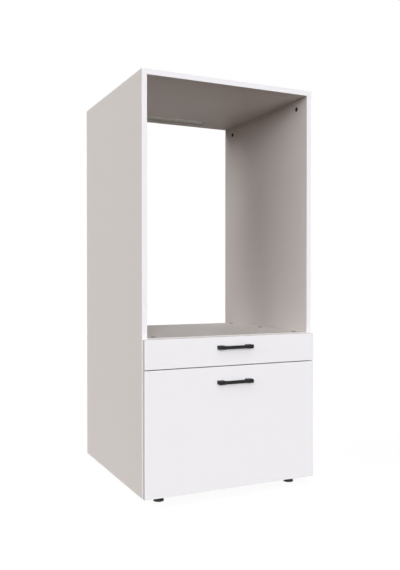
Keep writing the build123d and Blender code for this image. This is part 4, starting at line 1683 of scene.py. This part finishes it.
@dataclass(frozen=True)
class Studio:
    """The white floor and backdrop, the soft lamps and the camera."""

    eye: Point = (-1.0904, -2.3487, 0.7410)
    turn: float = 0.44204
    dip: float = 0.01172
    focal_pixels: float = 679.55
    picture_height: int = 570
    sensor: float = 36.0
    sight: float = 50.0
    air: float = 0.015
    floor_size: float = 20.0
    floor_dull: Colour = (0.07, 0.035, 0.015)
    floor_glow: float = 0.85
    floor_light: float = 1.09
    floor_drop: float = 0.0101
    lamps: tuple[Lamp, ...] = (
        Lamp("front", 0, 10, 0.4, width=12),
        Lamp("front_high", 10, 50, 0.14),
        Lamp("front_low", -25, -15, 0.13),
        Lamp("front_left", 25, 15, 0.44),
        Lamp("left", 75, 15, 0.22),
        Lamp("left_high", 100, 35, 0.35),
        Lamp("right", -90, 3, 0.55, width=5, mirrored=False),
        Lamp("rear", 180, 3, 0.45, width=5, mirrored=False),
    )

    def build(self) -> None:
        """Set up everything around the object."""
        self.camera()
        self.world()
        self.floor()
        for lamp in self.lamps:
            lamp.hang()
        bpy.context.scene.view_settings.view_transform = "Standard"

    def camera(self) -> None:
        """Put the camera at the photograph's place."""
        data = bpy.data.cameras.new("camera")
        data.sensor_width = self.sensor
        data.lens = self.focal_pixels * self.sensor / self.picture_height
        data.clip_end = self.sight
        camera = bpy.data.objects.new("camera", data)
        level = math.cos(self.dip)
        ahead = Vector((math.sin(self.turn) * level, math.cos(self.turn) * level, -math.sin(self.dip)))
        camera.rotation_mode = "QUATERNION"
        camera.rotation_quaternion = ahead.to_track_quat("-Z", "Y")
        camera.location = self.eye
        bpy.context.scene.collection.objects.link(camera)
        bpy.context.scene.camera = camera

    def world(self) -> None:
        """Light everything evenly and show white behind the object."""
        world = bpy.data.worlds.new("studio")
        sheet = NodeSheet(world)
        inputs = {"Value": sheet.backdrop_rays(), "To Min": self.air, "To Max": 1.0}
        strength = sheet.add("ShaderNodeMapRange", inputs)
        inputs = {"Color": WHITE, "Strength": strength.outputs["Result"]}
        background = sheet.add("ShaderNodeBackground", inputs)
        sheet.add("ShaderNodeOutputWorld", {"Surface": background.outputs[0]})
        bpy.context.scene.world = world

    def floor(self) -> None:
        """Lay the floor as low as the feet reach when turned out. It shows white and keeps a faint shadow."""
        shape = bmesh.new()
        bmesh.ops.create_grid(shape, x_segments=1, y_segments=1, size=self.floor_size)
        mesh = bpy.data.meshes.new("floor")
        shape.to_mesh(mesh)
        shape.free()
        floor = bpy.data.objects.new("floor", mesh)
        floor.location.z = -self.floor_drop
        floor.visible_shadow = False
        bpy.context.scene.collection.objects.link(floor)
        material = bpy.data.materials.new("floor")
        sheet = NodeSheet(material)
        dull = sheet.add("ShaderNodeBsdfDiffuse", {"Color": (*self.floor_dull, 1)})
        white = sheet.add("ShaderNodeBsdfDiffuse", {"Color": WHITE})
        glow = sheet.add("ShaderNodeEmission", {"Color": WHITE, "Strength": self.floor_light})
        inputs = {"Fac": self.floor_glow, 1: white.outputs[0], 2: glow.outputs[0]}
        shown = sheet.add("ShaderNodeMixShader", inputs)
        inputs = {"Fac": sheet.backdrop_rays(), 1: dull.outputs[0], 2: shown.outputs[0]}
        mix = sheet.add("ShaderNodeMixShader", inputs)
        sheet.add("ShaderNodeOutputMaterial", {"Surface": mix.outputs[0]})
        mesh.materials.append(material)


def main() -> None:
    """Build the studio and every piece of the cabinet."""
    logging.basicConfig(level=logging.INFO)
    cabinet = Cabinet()
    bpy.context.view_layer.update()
    Studio().build()
    drawers = [DrawerUnit(cabinet, name) for name in ("upper", "lower")]
    for assembly in (Carcass(cabinet), Hardware(cabinet), *drawers, LevellingFeet(cabinet)):
        LOG.info("Building the %s", type(assembly).__name__)
        assembly.build()
    cabinet.dress_rest()


if __name__ == "__main__":
    main()
